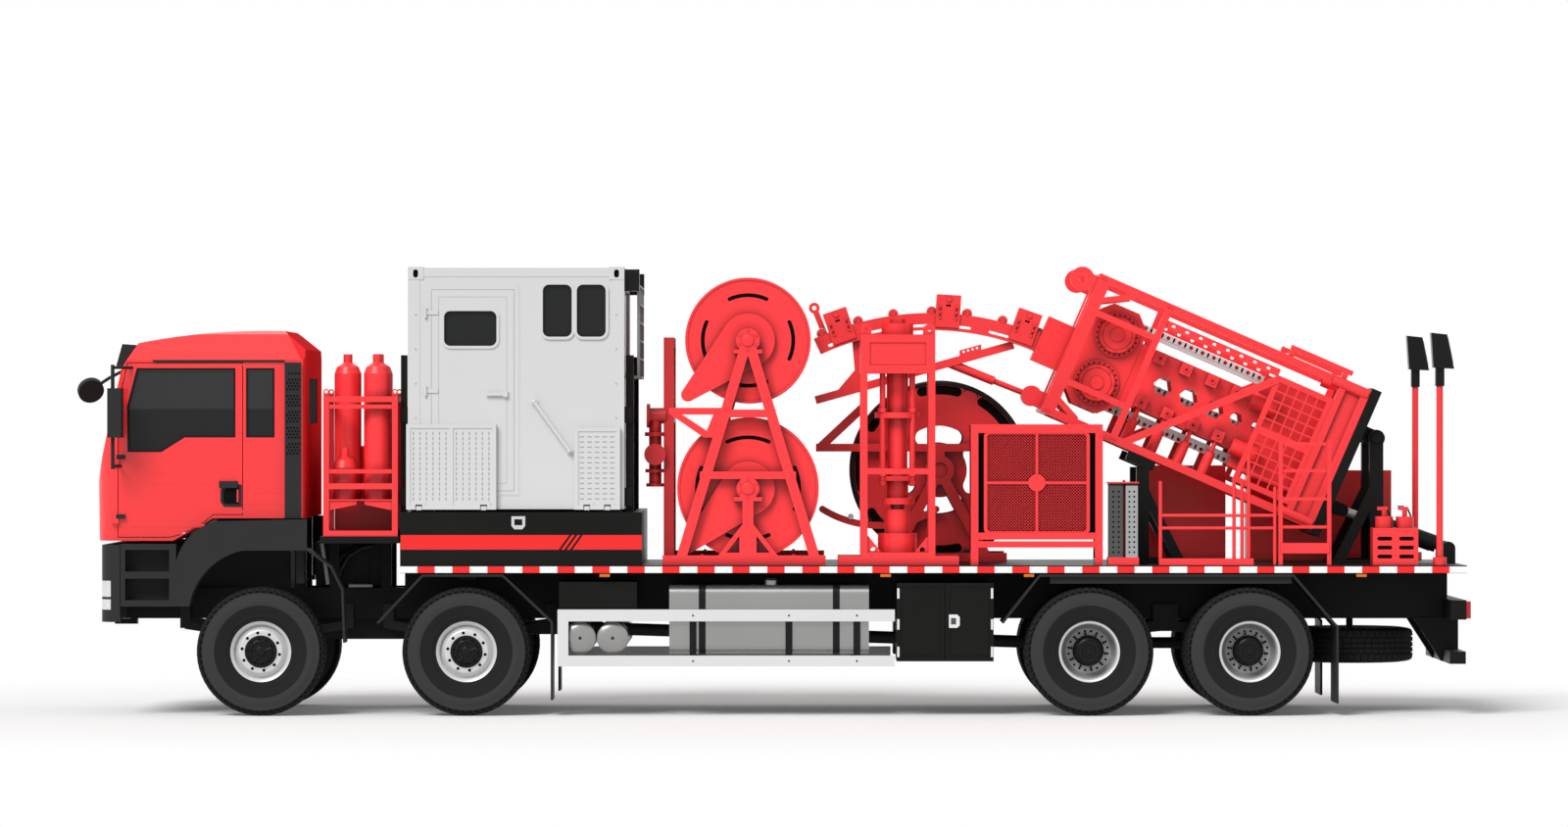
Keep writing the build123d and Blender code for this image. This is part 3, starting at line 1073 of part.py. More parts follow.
# Frames on the deck: the bottle rack, the large reel's stand with its arm, and the pressure stack's frame
RACK_X = (at(1944), at(2594))
RACK_Y = (-1225, -480)
RACK_TOP = 2790
RACK_SHELF = 1890
POST = 50
STACK_X = (at(6633), at(7285))
STACK_BASE = (at(6436), at(7491))
STACK_Y = (-1200, -550)
STACK_HEAD = (2990, 3330)
REEL_ARM_R = 958
REEL_ARM_MIDDLE = (LARGE_REEL_X - 539, 2598)
with BuildPart() as equipment_frames:
    for x in RACK_X:
        inner = (x, x + POST) if x == RACK_X[0] else (x - POST, x)
        for y in ((RACK_Y[0], RACK_Y[0] + POST), (RACK_Y[1] - POST, RACK_Y[1])):
            block(inner, y, (PLATFORM_TOP, RACK_TOP))
            with BuildSketch(side(sum(y) / 2)):
                with Locations((sum(inner) / 2, RACK_TOP)):
                    area((-POST / 2, POST / 2), (-10, 40))
                with Locations((sum(inner) / 2, RACK_TOP + 40)):
                    Circle(POST / 2)
                    Circle(14, mode=Mode.SUBTRACT)
            extrude(amount=8, both=True)
        block(inner, RACK_Y, (PLATFORM_TOP, PLATFORM_TOP + POST))
        block(inner, RACK_Y, (RACK_TOP - POST, RACK_TOP))
    for z in (PLATFORM_TOP + 25, 2005, RACK_TOP - 25):
        for y in ((RACK_Y[0], RACK_Y[0] + POST), (RACK_Y[1] - POST, RACK_Y[1])):
            block(RACK_X, y, (z - 25, z + 25))
    for z in (2135, 2700):
        block(RACK_X, (RACK_Y[0] + 5, RACK_Y[0] + 35), (z - 18, z + 18))
    block(RACK_X, RACK_Y, (RACK_SHELF - 10, RACK_SHELF))
    for corner, turn in ((RACK_X[0], 1), (RACK_X[1], -1)):
        with BuildSketch(side(RACK_Y[0] + 25)):
            Polygon(
                (corner, RACK_SHELF),
                (corner + turn * 290, RACK_SHELF),
                (corner + turn * 290, RACK_SHELF - 45),
                (corner, RACK_SHELF - 105), align=None,
            )
        extrude(amount=12, both=True)
    for y in (LARGE_REEL_Y[0] - 90, LARGE_REEL_Y[1] + 90):
        with BuildSketch(side(y)):
            for foot in (-420, 420):
                stroke((LARGE_REEL_X + foot, DECK_TOP + 40), (LARGE_REEL_X, LARGE_REEL_Z), 90)
            with Locations((LARGE_REEL_X, LARGE_REEL_Z)):
                Circle(130)
                Circle(LARGE_SHAFT_R + RUNNING_FIT, mode=Mode.SUBTRACT)
            area((LARGE_REEL_X - 600, LARGE_REEL_X + 600), (DECK_TOP, DECK_TOP + 80))
        extrude(amount=30, both=True)
    with BuildSketch(side(LARGE_REEL_Y[0] - 90)):
        arc_slots(REEL_ARM_MIDDLE, REEL_ARM_R, 60, 32, (270,))
        stroke((LARGE_REEL_X - 1105, 2335), (LARGE_REEL_X + 306, 2335), 70)
        stroke((LARGE_REEL_X - 1070, 2335), (LARGE_REEL_X - 680, 2700), 76)
        stroke((LARGE_REEL_X, LARGE_REEL_Z), (LARGE_REEL_X, 2335), 90)
        with Locations((LARGE_REEL_X, LARGE_REEL_Z)):
            Circle(LARGE_SHAFT_R + RUNNING_FIT, mode=Mode.SUBTRACT)
    extrude(amount=30, both=True)
    for y in ((STACK_Y[0], STACK_Y[0] + 60), (STACK_Y[1] - 60, STACK_Y[1])):
        block(STACK_BASE, y, (DECK_TOP, DECK_TOP + 80))
        for x in ((STACK_X[0], STACK_X[0] + 60), (STACK_X[1] - 60, STACK_X[1])):
            block(x, y, (DECK_TOP, STACK_HEAD[0] + 10))
        block(STACK_X, y, (2110, 2160))
        with BuildSketch(side(sum(y) / 2)):
            for corner, turn in ((STACK_X[0] + 50, 1), (STACK_X[1] - 50, -1)):
                Polygon(
                    (corner, DECK_TOP + 70), (corner + turn * 165, DECK_TOP + 70), (corner + turn * 25, 1560),
                    (corner, 1560), align=None,
                )
                with Locations((corner + turn * 62, 1448)):
                    Circle(24, mode=Mode.SUBTRACT)
        extrude(amount=12, both=True)
        with BuildSketch(side(sum(y) / 2)):
            for x in (STACK_X[0] + 48, STACK_X[1] - 48):
                area((x - 47, x + 47), (STACK_HEAD[1] - 10, STACK_HEAD[1] + 48))
                with Locations((x, STACK_HEAD[1] + 48)):
                    Circle(47)
                    Circle(22, mode=Mode.SUBTRACT)
        extrude(amount=14, both=True)
    for x in ((STACK_X[0], STACK_X[0] + 60), (STACK_X[1] - 60, STACK_X[1])):
        block(x, STACK_Y, (DECK_TOP, DECK_TOP + 80))
    block(STACK_X, STACK_Y, (DECK_TOP + 60, DECK_TOP + 110))
    block(STACK_X, STACK_Y, STACK_HEAD)
    for y in (STACK_Y[0] - 5, STACK_Y[1] - 10):
        recess_x = (STACK_X[0] + 80, STACK_X[1] - 80)
        recess_z = (STACK_HEAD[0] + 70, STACK_HEAD[1] - 70)
        block(recess_x, (y, y + 15), recess_z, mode=Mode.SUBTRACT)
save(equipment_frames.part, "equipment_frames")

# Pressure stack: bottom, top and radius of each turned length, and tie rods between the flanges
STACK_RINGS = (
    (DECK_TOP + 110, 1590, 172), (1590, 1800, 112), (1800, 1845, 60), (1845, 1900, 150), (1900, 2050, 95),
    (2050, 2090, 185), (2090, 2600, 88), (2600, 2650, 200), (2650, STACK_HEAD[0], 95),
)
TIE_OFFSET = 130
TIE_R = 24
TIE_FOOT = 2005
NUT_Z = (2011, 2091, 2651)
stack_middle = (sum(STACK_X) / 2, sum(STACK_Y) / 2)
with BuildPart() as pressure_stack:
    for low, high, radius in STACK_RINGS:
        rod((*stack_middle, low), (*stack_middle, high), radius)
    with BuildSketch(Plane.XY.offset(TIE_FOOT)):
        with Locations(stack_middle):
            with GridLocations(2 * TIE_OFFSET, 2 * TIE_OFFSET, 2, 2):
                Circle(TIE_R)
    extrude(amount=STACK_HEAD[0] - TIE_FOOT)
    for z in NUT_Z:
        with BuildSketch(Plane.XY.offset(z)):
            with Locations(stack_middle):
                with GridLocations(2 * TIE_OFFSET, 2 * TIE_OFFSET, 2, 2):
                    RegularPolygon(40, 6)
        extrude(amount=38)
    rod((*stack_middle, STACK_HEAD[1]), (*stack_middle, STACK_HEAD[1] + 100), 140)
    with BuildSketch(Plane.XY.offset(STACK_HEAD[1] + 90)):
        with Locations(stack_middle):
            RegularPolygon(70, 6)
    extrude(amount=50)
save(pressure_stack.part, "pressure_stack")

# Oil cooler behind its guard
COOLER_X = (at(7595), at(8746))
COOLER_Y = (-1210, -760)
COOLER_Z = (1600, 2470)
GUARD_SIZE = (864, 846)
with BuildPart() as cooler:
    for x in ((COOLER_X[0], COOLER_X[0] + 65), (COOLER_X[1] - 65, COOLER_X[1])):
        for y in ((COOLER_Y[0], COOLER_Y[0] + 60), (COOLER_Y[1] - 60, COOLER_Y[1])):
            block(x, y, (DECK_TOP, 2545))
        block(x, COOLER_Y, (DECK_TOP, DECK_TOP + 60))
    for z in ((2470, 2545), (1540, 1600)):
        for y in ((COOLER_Y[0], COOLER_Y[0] + 60), (COOLER_Y[1] - 60, COOLER_Y[1])):
            block(COOLER_X, y, z)
    block((COOLER_X[0] + 20, COOLER_X[1] - 20), (COOLER_Y[0] + 70, COOLER_Y[1] - 30), (1560, 2520))
    block((COOLER_X[0] + 20, COOLER_X[1] - 20), (COOLER_Y[0], COOLER_Y[0] + 15), (1470, 1525))
    with BuildSketch(side(COOLER_Y[0] + 12)):
        guard_middle = (sum(COOLER_X) / 2, sum(COOLER_Z) / 2)
        with Locations(guard_middle):
            RectangleRounded(GUARD_SIZE[0] + 60, GUARD_SIZE[1] + 60, 50)
            RectangleRounded(*GUARD_SIZE, 25, mode=Mode.SUBTRACT)
            Rectangle(GUARD_SIZE[0] + 20, 24)
            Rectangle(24, GUARD_SIZE[1] + 20)
            Circle(75)
    extrude(amount=8, both=True)
save(cooler.part, "cooler")

# Folded stair treads and the edge rails, gate and toe frame on the left edge
with BuildPart() as stair_pack:
    for x in ((at(8800), at(8920)), (at(8945), at(9050))):
        block(x, (-1235, -1000), (DECK_TOP + 70, 2030))
    block((at(8790), at(9060)), (-1235, -1000), (DECK_TOP, DECK_TOP + 70))
save(stair_pack.part, "stair_pack")

RAIL_POSTS = ((at(9248), 2050), (at(9890), 2050), (at(9960), 2050), (at(10018), 2300), (at(10247), 2000))
GATE_X = (at(10296), at(10720))
GATE_TOP = 2405
with BuildPart() as handrails:
    for x, top in RAIL_POSTS:
        rod((x, -1215, DECK_TOP), (x, -1215, top), 16)
    for z in (1640, 1750):
        rod((RAIL_POSTS[0][0], -1215, z), (RAIL_POSTS[-1][0], -1215, z), 14)
    block((at(9240), at(10060)), (-1240, -1190), (DECK_TOP, DECK_TOP + 60))
    for x in GATE_X:
        block((x - 18, x + 18), (-1233, -1197), (DECK_TOP, GATE_TOP))
    for z in (GATE_TOP - 30, 2140, 1895, 1650):
        block(GATE_X, (-1227, -1203), (z - 13, z + 13))
    block(GATE_X, (-1240, -1190), (1420, 1510))
save(handrails.part, "handrails")

# Fire extinguishers in their box
with BuildPart() as extinguishers:
    block((at(11103), at(11497)), (-1225, -960), (DECK_TOP, 1640))
    with BuildSketch(side(-1225)):
        with Locations((at(11300), 1470)):
            with GridLocations(190, 78, 2, 3):
                SlotOverall(130, 34)
    extrude(amount=-14, mode=Mode.SUBTRACT)
    for x in (at(11210), at(11390)):
        rod((x, -1092, 1640), (x, -1092, 1740), 78)
        rod((x, -1092, 1740), (x, -1092, 1800), 22)
        block((x - 60, x + 30), (-1104, -1080), (1795, 1825))
save(extinguishers.part, "extinguishers")

# Light masts at the rear corners
MAST_X = at(11688)
with BuildPart() as light_masts:
    for hand in SIDES:
        y = hand * 1180
        rod((MAST_X, y, DECK_TOP), (MAST_X, y, DECK_TOP + 70), 60)
        rod((MAST_X, y, DECK_TOP), (MAST_X, y, 2890), 29)
        block((MAST_X - 38, MAST_X + 38), (y - 38, y + 38), (2880, 3190))
        with BuildSketch(side(y)):
            Polygon(
                (MAST_X - 60, 3040), (MAST_X + 120, 3030), (MAST_X + 60, 3330), (MAST_X - 80, 3345),
                align=None,
            )
        extrude(amount=70, both=True)
save(light_masts.part, "light_masts")

# Rest posts, tilt columns with pivot pins, braces and the cylinder clevises
COLUMN_Y = (380, 480)
EAR_GAP = 8
REST_X = PIVOT_X - 2071
REST_U = -1617
PIN_R = 30
with BuildPart() as injector_supports:
    for hand in SIDES:
        block((PIVOT_X - 60, PIVOT_X + 60), across(hand, *COLUMN_Y), (DECK_TOP, PIVOT_Z))
        with BuildSketch(side(hand * sum(COLUMN_Y) / 2)):
            with Locations((PIVOT_X, PIVOT_Z)):
                Circle(75)
            stroke((PIVOT_X - 20, 1960), (PIVOT_X - 330, DECK_TOP + 20), 90)
            area((PIVOT_X - 400, PIVOT_X + 100), (DECK_TOP, DECK_TOP + 30))
        extrude(amount=50, both=True)
        rod((PIVOT_X, hand * 300, PIVOT_Z), (PIVOT_X, hand * 500, PIVOT_Z), PIVOT_R)
        rest_z = 2180
        block((REST_X - 55, REST_X + 55), across(hand, 520, 630), (DECK_TOP, rest_z - 20))
        with BuildSketch(tilt_plane(hand * 575)):
            area((REST_U - 130, REST_U + 130), (-INJECTOR_HALF_V - 90, -INJECTOR_HALF_V - 6))
        extrude(amount=55, both=True)
        with BuildSketch(side(hand * 575)):
            stroke((REST_X + 20, 1950), (REST_X + 330, DECK_TOP + 20), 80)
            area((REST_X - 100, REST_X + 400), (DECK_TOP, DECK_TOP + 30))
        extrude(amount=40, both=True)
        for y in (CYLINDER_Y - 65, CYLINDER_Y + 65):
            with BuildSketch(side(hand * y)):
                with Locations((CLEVIS_X, CLEVIS_Z)):
                    Circle(60)
                area((CLEVIS_X - 60, CLEVIS_X + 60), (DECK_TOP, CLEVIS_Z))
            extrude(amount=18, both=True)
        pin_y = (hand * (CYLINDER_Y - 83), hand * (CYLINDER_Y + 83))
        rod((CLEVIS_X, pin_y[0], CLEVIS_Z), (CLEVIS_X, pin_y[1], CLEVIS_Z), PIN_R)
save(injector_supports.part, "injector_supports")

# Tilt cradle under the injector's base: plate frame, pivot lugs and rod ears
ROD_EYE = tilted(ROD_EYE_U, ROD_EYE_V)
with BuildPart() as tilt_cradle:
    with BuildSketch(tilt_plane(0)):
        area((0, 90), (-700, 690))
    extrude(amount=INJECTOR_HALF_Y, both=True)
    with BuildSketch(tilt_plane(0)):
        area((-10, 100), (-560, 560))
    extrude(amount=INJECTOR_HALF_Y - 140, both=True, mode=Mode.SUBTRACT)
    for hand in SIDES:
        with BuildSketch(tilt_plane(hand * 340)):
            stroke((60, 305), (-BASE_U, -BASE_V), 130)
            with Locations((-BASE_U, -BASE_V)):
                Circle(75)
            with Locations((-BASE_U, -BASE_V)):
                Circle(PIVOT_R + RUNNING_FIT, mode=Mode.SUBTRACT)
        extrude(amount=30, both=True)
        with BuildSketch(tilt_plane(hand * 340)):
            area((10, 80), (-600, 600))
        extrude(amount=30, both=True)
        for y in (CYLINDER_Y - 65, CYLINDER_Y + 65):
            with BuildSketch(tilt_plane(hand * y)):
                with Locations((ROD_EYE_U - BASE_U, ROD_EYE_V - BASE_V)):
                    Circle(55)
                stroke((60, ROD_EYE_V - BASE_V), (ROD_EYE_U - BASE_U, ROD_EYE_V - BASE_V), 110)
            extrude(amount=15, both=True)
    with BuildSketch(tilt_plane(0)):
        area((10, 80), (ROD_EYE_V - BASE_V - 60, ROD_EYE_V - BASE_V + 60))
    extrude(amount=370, both=True)
save(tilt_cradle.part, "tilt_cradle")

# Injector frame: tube rails and posts, braces, grid guards, end plates, buffers and sheaves
TUBE = 70
TOP_U = -INJECTOR_LENGTH
END_POST = 115
MID_POST_U = -1917
GUARD_POST_U = -242
GUARD_U = (-815, GUARD_POST_U)
GUARD_V = (-548, 465)
GUARD_PANES = (-287, 203)
PLATE_Y = 330
NECK_HALF_Y = 170
RAIL_V = INJECTOR_HALF_V - TUBE / 2
TUBE_Y = INJECTOR_HALF_Y - TUBE / 2
SHEAVE = (TOP_U - 128, 557)
# Start, end and width of each brace in the side frames
BRACES = (
    ((-1814, -617), (-790, 432), 66), ((-2552, 417), (-2228, 601), 50), ((-2570, -470), (-2281, -604), 50),
    ((TOP_U + 20, 330), (MID_POST_U, 330), 55), ((TOP_U + 20, -325), (MID_POST_U, -325), 55),
)
with BuildPart() as injector_frame:
    for hand in SIDES:
        with BuildSketch(tilt_plane(hand * TUBE_Y)):
            area((TOP_U, 0), (-INJECTOR_HALF_V, INJECTOR_HALF_V))
            inside_v = INJECTOR_HALF_V - TUBE
            area((TOP_U + END_POST, -TUBE), (-inside_v, inside_v), mode=Mode.SUBTRACT)
            for u in (MID_POST_U, GUARD_POST_U):
                stroke((u, -RAIL_V), (u, RAIL_V), 62)
            for start, end, width in BRACES:
                stroke(start, end, width)
        extrude(amount=TUBE / 2, both=True)
        with BuildSketch(tilt_plane(hand * (INJECTOR_HALF_Y - 12))):
            area(GUARD_U, GUARD_V)
            for v in GUARD_PANES:
                with Locations((sum(GUARD_U) / 2 - 15, v)):
                    with GridLocations(92, 87, 5, 5):
                        Rectangle(78, 73, mode=Mode.SUBTRACT)
        extrude(amount=7, both=True)
        with BuildSketch(tilt_plane(hand * (INJECTOR_HALF_Y - 40))):
            area((GUARD_POST_U, -TUBE + 10), (-RAIL_V, RAIL_V))
        extrude(amount=8, both=True)
        with BuildSketch(tilt_plane(hand * (INJECTOR_HALF_Y - 14))):
            area((MID_POST_U, GUARD_U[0] + 10), (450, 520))
            with Locations(((MID_POST_U + GUARD_U[0]) / 2, 485)):
                with GridLocations(130, 1, 8, 1):
                    Circle(17, mode=Mode.SUBTRACT)
        extrude(amount=8, both=True)
        with BuildSketch(tilt_plane(hand * TUBE_Y)):
            stroke((-800, 738), (-209, 738), 44)
            for u in (-770, -265):
                stroke((u, RAIL_V), (u, 738), 50)
            with Locations(SHEAVE):
                Circle(106)
            stroke(SHEAVE, (TOP_U + 10, SHEAVE[1]), 150)
            with Locations(SHEAVE):
                Circle(30, mode=Mode.SUBTRACT)
        extrude(amount=24, both=True)
        for v in (-RAIL_V + 12, RAIL_V - 12):
            rod(spot(-350, v, hand * TUBE_Y), spot(-12, v, hand * TUBE_Y), 52)
    for u in (TOP_U + TUBE / 2, -TUBE / 2):
        for v in (-RAIL_V, RAIL_V):
            with BuildSketch(tilt_plane(0)):
                area((u - TUBE / 2, u + TUBE / 2), (v - TUBE / 2, v + TUBE / 2))
            extrude(amount=INJECTOR_HALF_Y, both=True)
    with BuildSketch(tilt_plane(0)):
        area((-TUBE, 0), (-INJECTOR_HALF_V, INJECTOR_HALF_V))
    extrude(amount=PLATE_Y + 150, both=True)
    with BuildSketch(tilt_plane(0)):
        area((TOP_U, TOP_U + TUBE), (-INJECTOR_HALF_V, INJECTOR_HALF_V))
    extrude(amount=NECK_HALF_Y, both=True)
save(injector_frame.part, "injector_frame")

# Injector drive: gear plates with motors, side plates with sockets, jacks on their beams, and sprocket drums
CHAIN_V = 230
CHAIN_U = (-2240, -480)
CHAIN_IN = 105
CHAIN_OUT = 165
CHAIN_HALF_Y = 90
JACK_U = (-1810, -1560, -1310, -1070)
JACK_Y = 430
SOCKET_V = (-235, 190)
JACK_BEAM_V = (-640, -600)
WINDOW_V = -27
# Place along the plates and radius of the six-sided windows
WINDOWS = ((-1684, 87), (-1436, 87), (-1186, 87), (-977, 58), (-776, 58))
with BuildPart() as injector_drive:
    for hand in SIDES:
        with BuildSketch(tilt_plane(hand * PLATE_Y)) as gear_plate:
            area((-2500, -2000), (-480, 480))
            chamfer(gear_plate.vertices(), 130)
        extrude(amount=25, both=True)
        with BuildSketch(tilt_plane(hand * PLATE_Y)):
            area((-2010, -880), (-300, 250))
            area((-890, -TUBE), (-440, 440))
            for u, size in WINDOWS:
                with Locations((u, WINDOW_V)):
                    RegularPolygon(size, 6, mode=Mode.SUBTRACT)
        extrude(amount=20, both=True)
        for v in (-CHAIN_V, CHAIN_V):
            for size, proud in ((198, 30), (160, 80), (58, 92)):
                with BuildSketch(tilt_plane(hand * (PLATE_Y + 15))):
                    with Locations((CHAIN_U[0], v)):
                        Circle(size)
                extrude(amount=-hand * (10 + proud))
        for u in JACK_U:
            for v in SOCKET_V:
                with BuildSketch(tilt_plane(hand * PLATE_Y)):
                    area((u - 50, u + 50), (v - 50, v + 50))
                extrude(amount=-hand * (JACK_Y + 46 - PLATE_Y))
                with BuildSketch(tilt_plane(hand * (JACK_Y + 46))):
                    with Locations((u, v)):
                        Circle(28, mode=Mode.ADD)
                extrude(amount=-hand * 10)
            low = SOCKET_V[0] - 45
            rod(spot(u, low, hand * JACK_Y), spot(u, -400, hand * JACK_Y), 21)
            rod(spot(u, -395, hand * JACK_Y), spot(u, JACK_BEAM_V[1] - 5, hand * JACK_Y), 46)
        with BuildSketch(tilt_plane(hand * JACK_Y)):
            area((JACK_U[0] - 110, -TUBE), JACK_BEAM_V)
        extrude(amount=30, both=True)
        for v in (-267, 184):
            rod(spot(-930, v, hand * 425), spot(-690, v, hand * 425), 76)
    for u in CHAIN_U:
        for v in (-CHAIN_V, CHAIN_V):
            rod(spot(u, v, -PLATE_Y), spot(u, v, PLATE_Y), CHAIN_IN - TOUCH)
    for u, half in ((-2470, 340), (-140, 440)):
        with BuildSketch(tilt_plane(0)):
            area((u - 25, u + 25), (-half, half))
        extrude(amount=PLATE_Y, both=True)
save(injector_drive.part, "injector_drive")

# Injector chains: two endless loops round the drums, with a roller at every link
LINK_PITCH = 110
LINKS = 17
with BuildPart() as injector_chains:
    chain_span = CHAIN_U[1] - CHAIN_U[0]
    for v in (-CHAIN_V, CHAIN_V):
        with BuildSketch(tilt_plane(0)):
            with Locations((sum(CHAIN_U) / 2, v)):
                SlotCenterToCenter(chain_span, 2 * CHAIN_OUT)
                for edge in (-CHAIN_OUT, CHAIN_OUT):
                    with Locations((0, edge)):
                        with GridLocations(LINK_PITCH, 1, LINKS, 1):
                            Circle(30)
                SlotCenterToCenter(chain_span, 2 * CHAIN_IN, mode=Mode.SUBTRACT)
        extrude(amount=CHAIN_HALF_Y, both=True)
save(injector_chains.part, "injector_chains")

# Gooseneck: curved slotted beam with rollers and clamp plates, chord, gusset, strut and its foot
ARCH_R = 2480
ARCH_DEPTH = 152
ARCH_X = PIVOT_X - 3924
ARCH_Z = 1054
ARCH_HALF_Y = 110
ARCH_END = 24.0
REEL_CLEARANCE = 30
ARCH_INNER = ARCH_R - ARCH_DEPTH
nose_x = HOSE_REEL_X + UPPER_REEL_R + REEL_CLEARANCE
ARCH_START = degrees(asin((nose_x - ARCH_X) / ARCH_R))
CHORD_RISE = 0.28
CHORD_FOOT = (nose_x + 16, 2758)
CHORD_END_X = ARCH_X + 733
BOSS = (TOP_U - 112, -561)


def arch_point(angle, radius):
    """X and Z on the gooseneck's circle at an angle back from upright."""
    return ARCH_X + radius * sin(radians(angle)), ARCH_Z + radius * cos(radians(angle))


def arch_angle(share):
    """Angle at a share of the gooseneck's length from its nose."""
    return ARCH_START + share * (ARCH_END - ARCH_START)


def chord_point(x):
    """Point of the chord at a given X."""
    return x, CHORD_FOOT[1] + CHORD_RISE * (x - CHORD_FOOT[0])


with BuildPart() as gooseneck:
    with BuildSketch(side(0)):
        with BuildLine():
            outer = [arch_point(arch_angle(share), ARCH_R) for share in (0, 0.5, 1)]
            inner = [arch_point(arch_angle(share), ARCH_INNER) for share in (1, 0.5, 0)]
            ThreePointArc(*outer)
            Line(outer[2], inner[0])
            ThreePointArc(*inner)
            Line(inner[2], outer[0])
        make_face()
        for share in (0.09, 0.27, 0.46, 0.64, 0.81):
            with Locations(arch_point(arch_angle(share), ARCH_INNER + 40)):
                SlotOverall(185, 26, rotation=-arch_angle(share), mode=Mode.SUBTRACT)
    extrude(amount=ARCH_HALF_Y, both=True)
    for share in (0.12, 0.58, 0.91):
        angle = arch_angle(share)
        for hand in SIDES:
            with BuildSketch(side(hand * (ARCH_HALF_Y + 4))):
                stroke(arch_point(angle, ARCH_R - 125), arch_point(angle, ARCH_R + 165), 215)
            extrude(amount=9, both=True)
        x, z = arch_point(angle, ARCH_R + 125)
        rod((x, -ARCH_HALF_Y - 25, z), (x, ARCH_HALF_Y + 25, z), 22)
    for share in (0.04, 0.2, 0.35, 0.51, 0.66, 0.81, 0.97):
        x, z = arch_point(arch_angle(share), ARCH_R + 16)
        rod((x, -90, z), (x, 90, z), 40)
    nose = arch_point(arch_angle(0.05), ARCH_R - 20)
    boss = (nose[0] - 100, nose[1] + 250)
    link_x = nose_x + 396
    link_z = ARCH_Z + sqrt(ARCH_INNER**2 - (link_x - ARCH_X) ** 2)
    with BuildSketch(side(0)):
        stroke(nose, boss, 52)
        with Locations(boss):
            Circle(48)
            Circle(20, mode=Mode.SUBTRACT)
        stroke(CHORD_FOOT, chord_point(CHORD_END_X), 72)
        stroke((link_x - 20, link_z + 30), (link_x + 20, chord_point(link_x)[1]), 75)
        Polygon(
            chord_point(link_x - 220), chord_point(link_x), (link_x, chord_point(link_x)[1] + 200),
            align=None,
        )
        tab = chord_point(ARCH_X + 350)
        Polygon(
            (tab[0] - 96, tab[1] - 27), (tab[0] + 96, tab[1] + 27), (tab[0] + 96, tab[1] + 112),
            (tab[0] - 96, tab[1] + 58), align=None,
        )
        for step in (-60, -20, 20, 60):
            with Locations((tab[0] + step, tab[1] + 62 + CHORD_RISE * step)):
                Circle(11, mode=Mode.SUBTRACT)
    extrude(amount=45, both=True)
    strut_top = chord_point(ARCH_X + 157)
    strut_foot = spot(*BOSS, 0)
    strut_line = Vector(*strut_foot) - Vector(strut_top[0], 0, strut_top[1])
    strut_mid = Vector(strut_top[0], 0, strut_top[1]) + strut_line * 0.55
    rod((strut_top[0], 0, strut_top[1]), strut_mid, 40)
    rod(strut_mid, strut_foot, 26)
    with BuildSketch(tilt_plane(0)):
        area((TOP_U - 250, TOP_U), (-270, 150))
        with Locations(BOSS):
            Circle(92)
        stroke(BOSS, (TOP_U, BOSS[1]), 150)
    extrude(amount=ARCH_HALF_Y + 30, both=True)
save(gooseneck.part, "gooseneck")

# Tilt cylinders: barrels on the deck clevises, rods sliding out to the cradle
eye_x, eye_z = ROD_EYE
cylinder_line = Vector(eye_x - CLEVIS_X, 0, eye_z - CLEVIS_Z)
cylinder_length = cylinder_line.length
cylinder_way = cylinder_line.normalized()
BARREL_R_CYL = 75
ROD_R = 38
BARREL_LENGTH = cylinder_length - 190


def along(distance, y):
    """Point on a cylinder's centre line at a distance from its clevis."""
    return Vector(CLEVIS_X, y, CLEVIS_Z) + cylinder_way * distance


with BuildPart() as tilt_barrels:
    for hand in SIDES:
        y = hand * CYLINDER_Y
        rod(along(110, y), along(BARREL_LENGTH, y), BARREL_R_CYL)
        rod(along(45, y), along(120, y), 40)
        rod((CLEVIS_X, y - 40, CLEVIS_Z), (CLEVIS_X, y + 40, CLEVIS_Z), 58)
        eye = ((CLEVIS_X, y - 90, CLEVIS_Z), (CLEVIS_X, y + 90, CLEVIS_Z))
        rod(*eye, PIN_R + RUNNING_FIT, mode=Mode.SUBTRACT)
        rod(along(120, y), along(BARREL_LENGTH + 5, y), ROD_R + RUNNING_FIT, mode=Mode.SUBTRACT)
save(tilt_barrels.part, "tilt_barrels")

with BuildPart() as tilt_rods:
    for hand in SIDES:
        y = hand * CYLINDER_Y
        rod(along(125, y), along(cylinder_length - 30, y), ROD_R)
        rod((eye_x, y - 42, eye_z), (eye_x, y + 42, eye_z), 55)
save(tilt_rods.part, "tilt_rods")
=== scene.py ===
"""Looks of the coiled tubing unit truck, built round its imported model, in metres.

Added pieces are drawn in millimetres in the model's frame, and scaled as they are made.
"""

import math

import bmesh
import bpy
from mathutils import Matrix, Vector


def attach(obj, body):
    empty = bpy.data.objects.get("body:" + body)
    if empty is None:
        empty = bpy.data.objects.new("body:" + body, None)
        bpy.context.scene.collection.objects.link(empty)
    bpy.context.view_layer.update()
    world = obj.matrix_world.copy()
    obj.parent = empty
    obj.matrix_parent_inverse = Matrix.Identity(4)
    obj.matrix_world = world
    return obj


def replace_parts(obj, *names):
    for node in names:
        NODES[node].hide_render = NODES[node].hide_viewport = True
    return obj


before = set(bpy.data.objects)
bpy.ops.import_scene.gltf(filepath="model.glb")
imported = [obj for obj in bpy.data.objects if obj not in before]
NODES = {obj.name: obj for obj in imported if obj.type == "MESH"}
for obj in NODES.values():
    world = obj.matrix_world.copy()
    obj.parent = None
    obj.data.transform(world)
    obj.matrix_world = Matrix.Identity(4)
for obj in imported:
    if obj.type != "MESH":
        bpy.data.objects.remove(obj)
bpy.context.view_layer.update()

# Photograph's camera: far away, level with the deck loads, square to the left side
PHOTO_WIDTH = 1600
FOCAL_PIXELS = 7115
SENSOR_MM = 36.0
CAMERA_AT = (0.189, -62.05, 2.64)
CAMERA_REACH = 300.0

# Light levels, at which a colour renders about as it is written
AMBIENT = 0.47
BACKGROUND = 1.0
PURE_WHITE = (1, 1, 1, 1)
SUN_STRENGTH = 2.45
SUN_FROM = (-0.36, -0.64, 0.68)
SUN_ANGLE = math.radians(28)

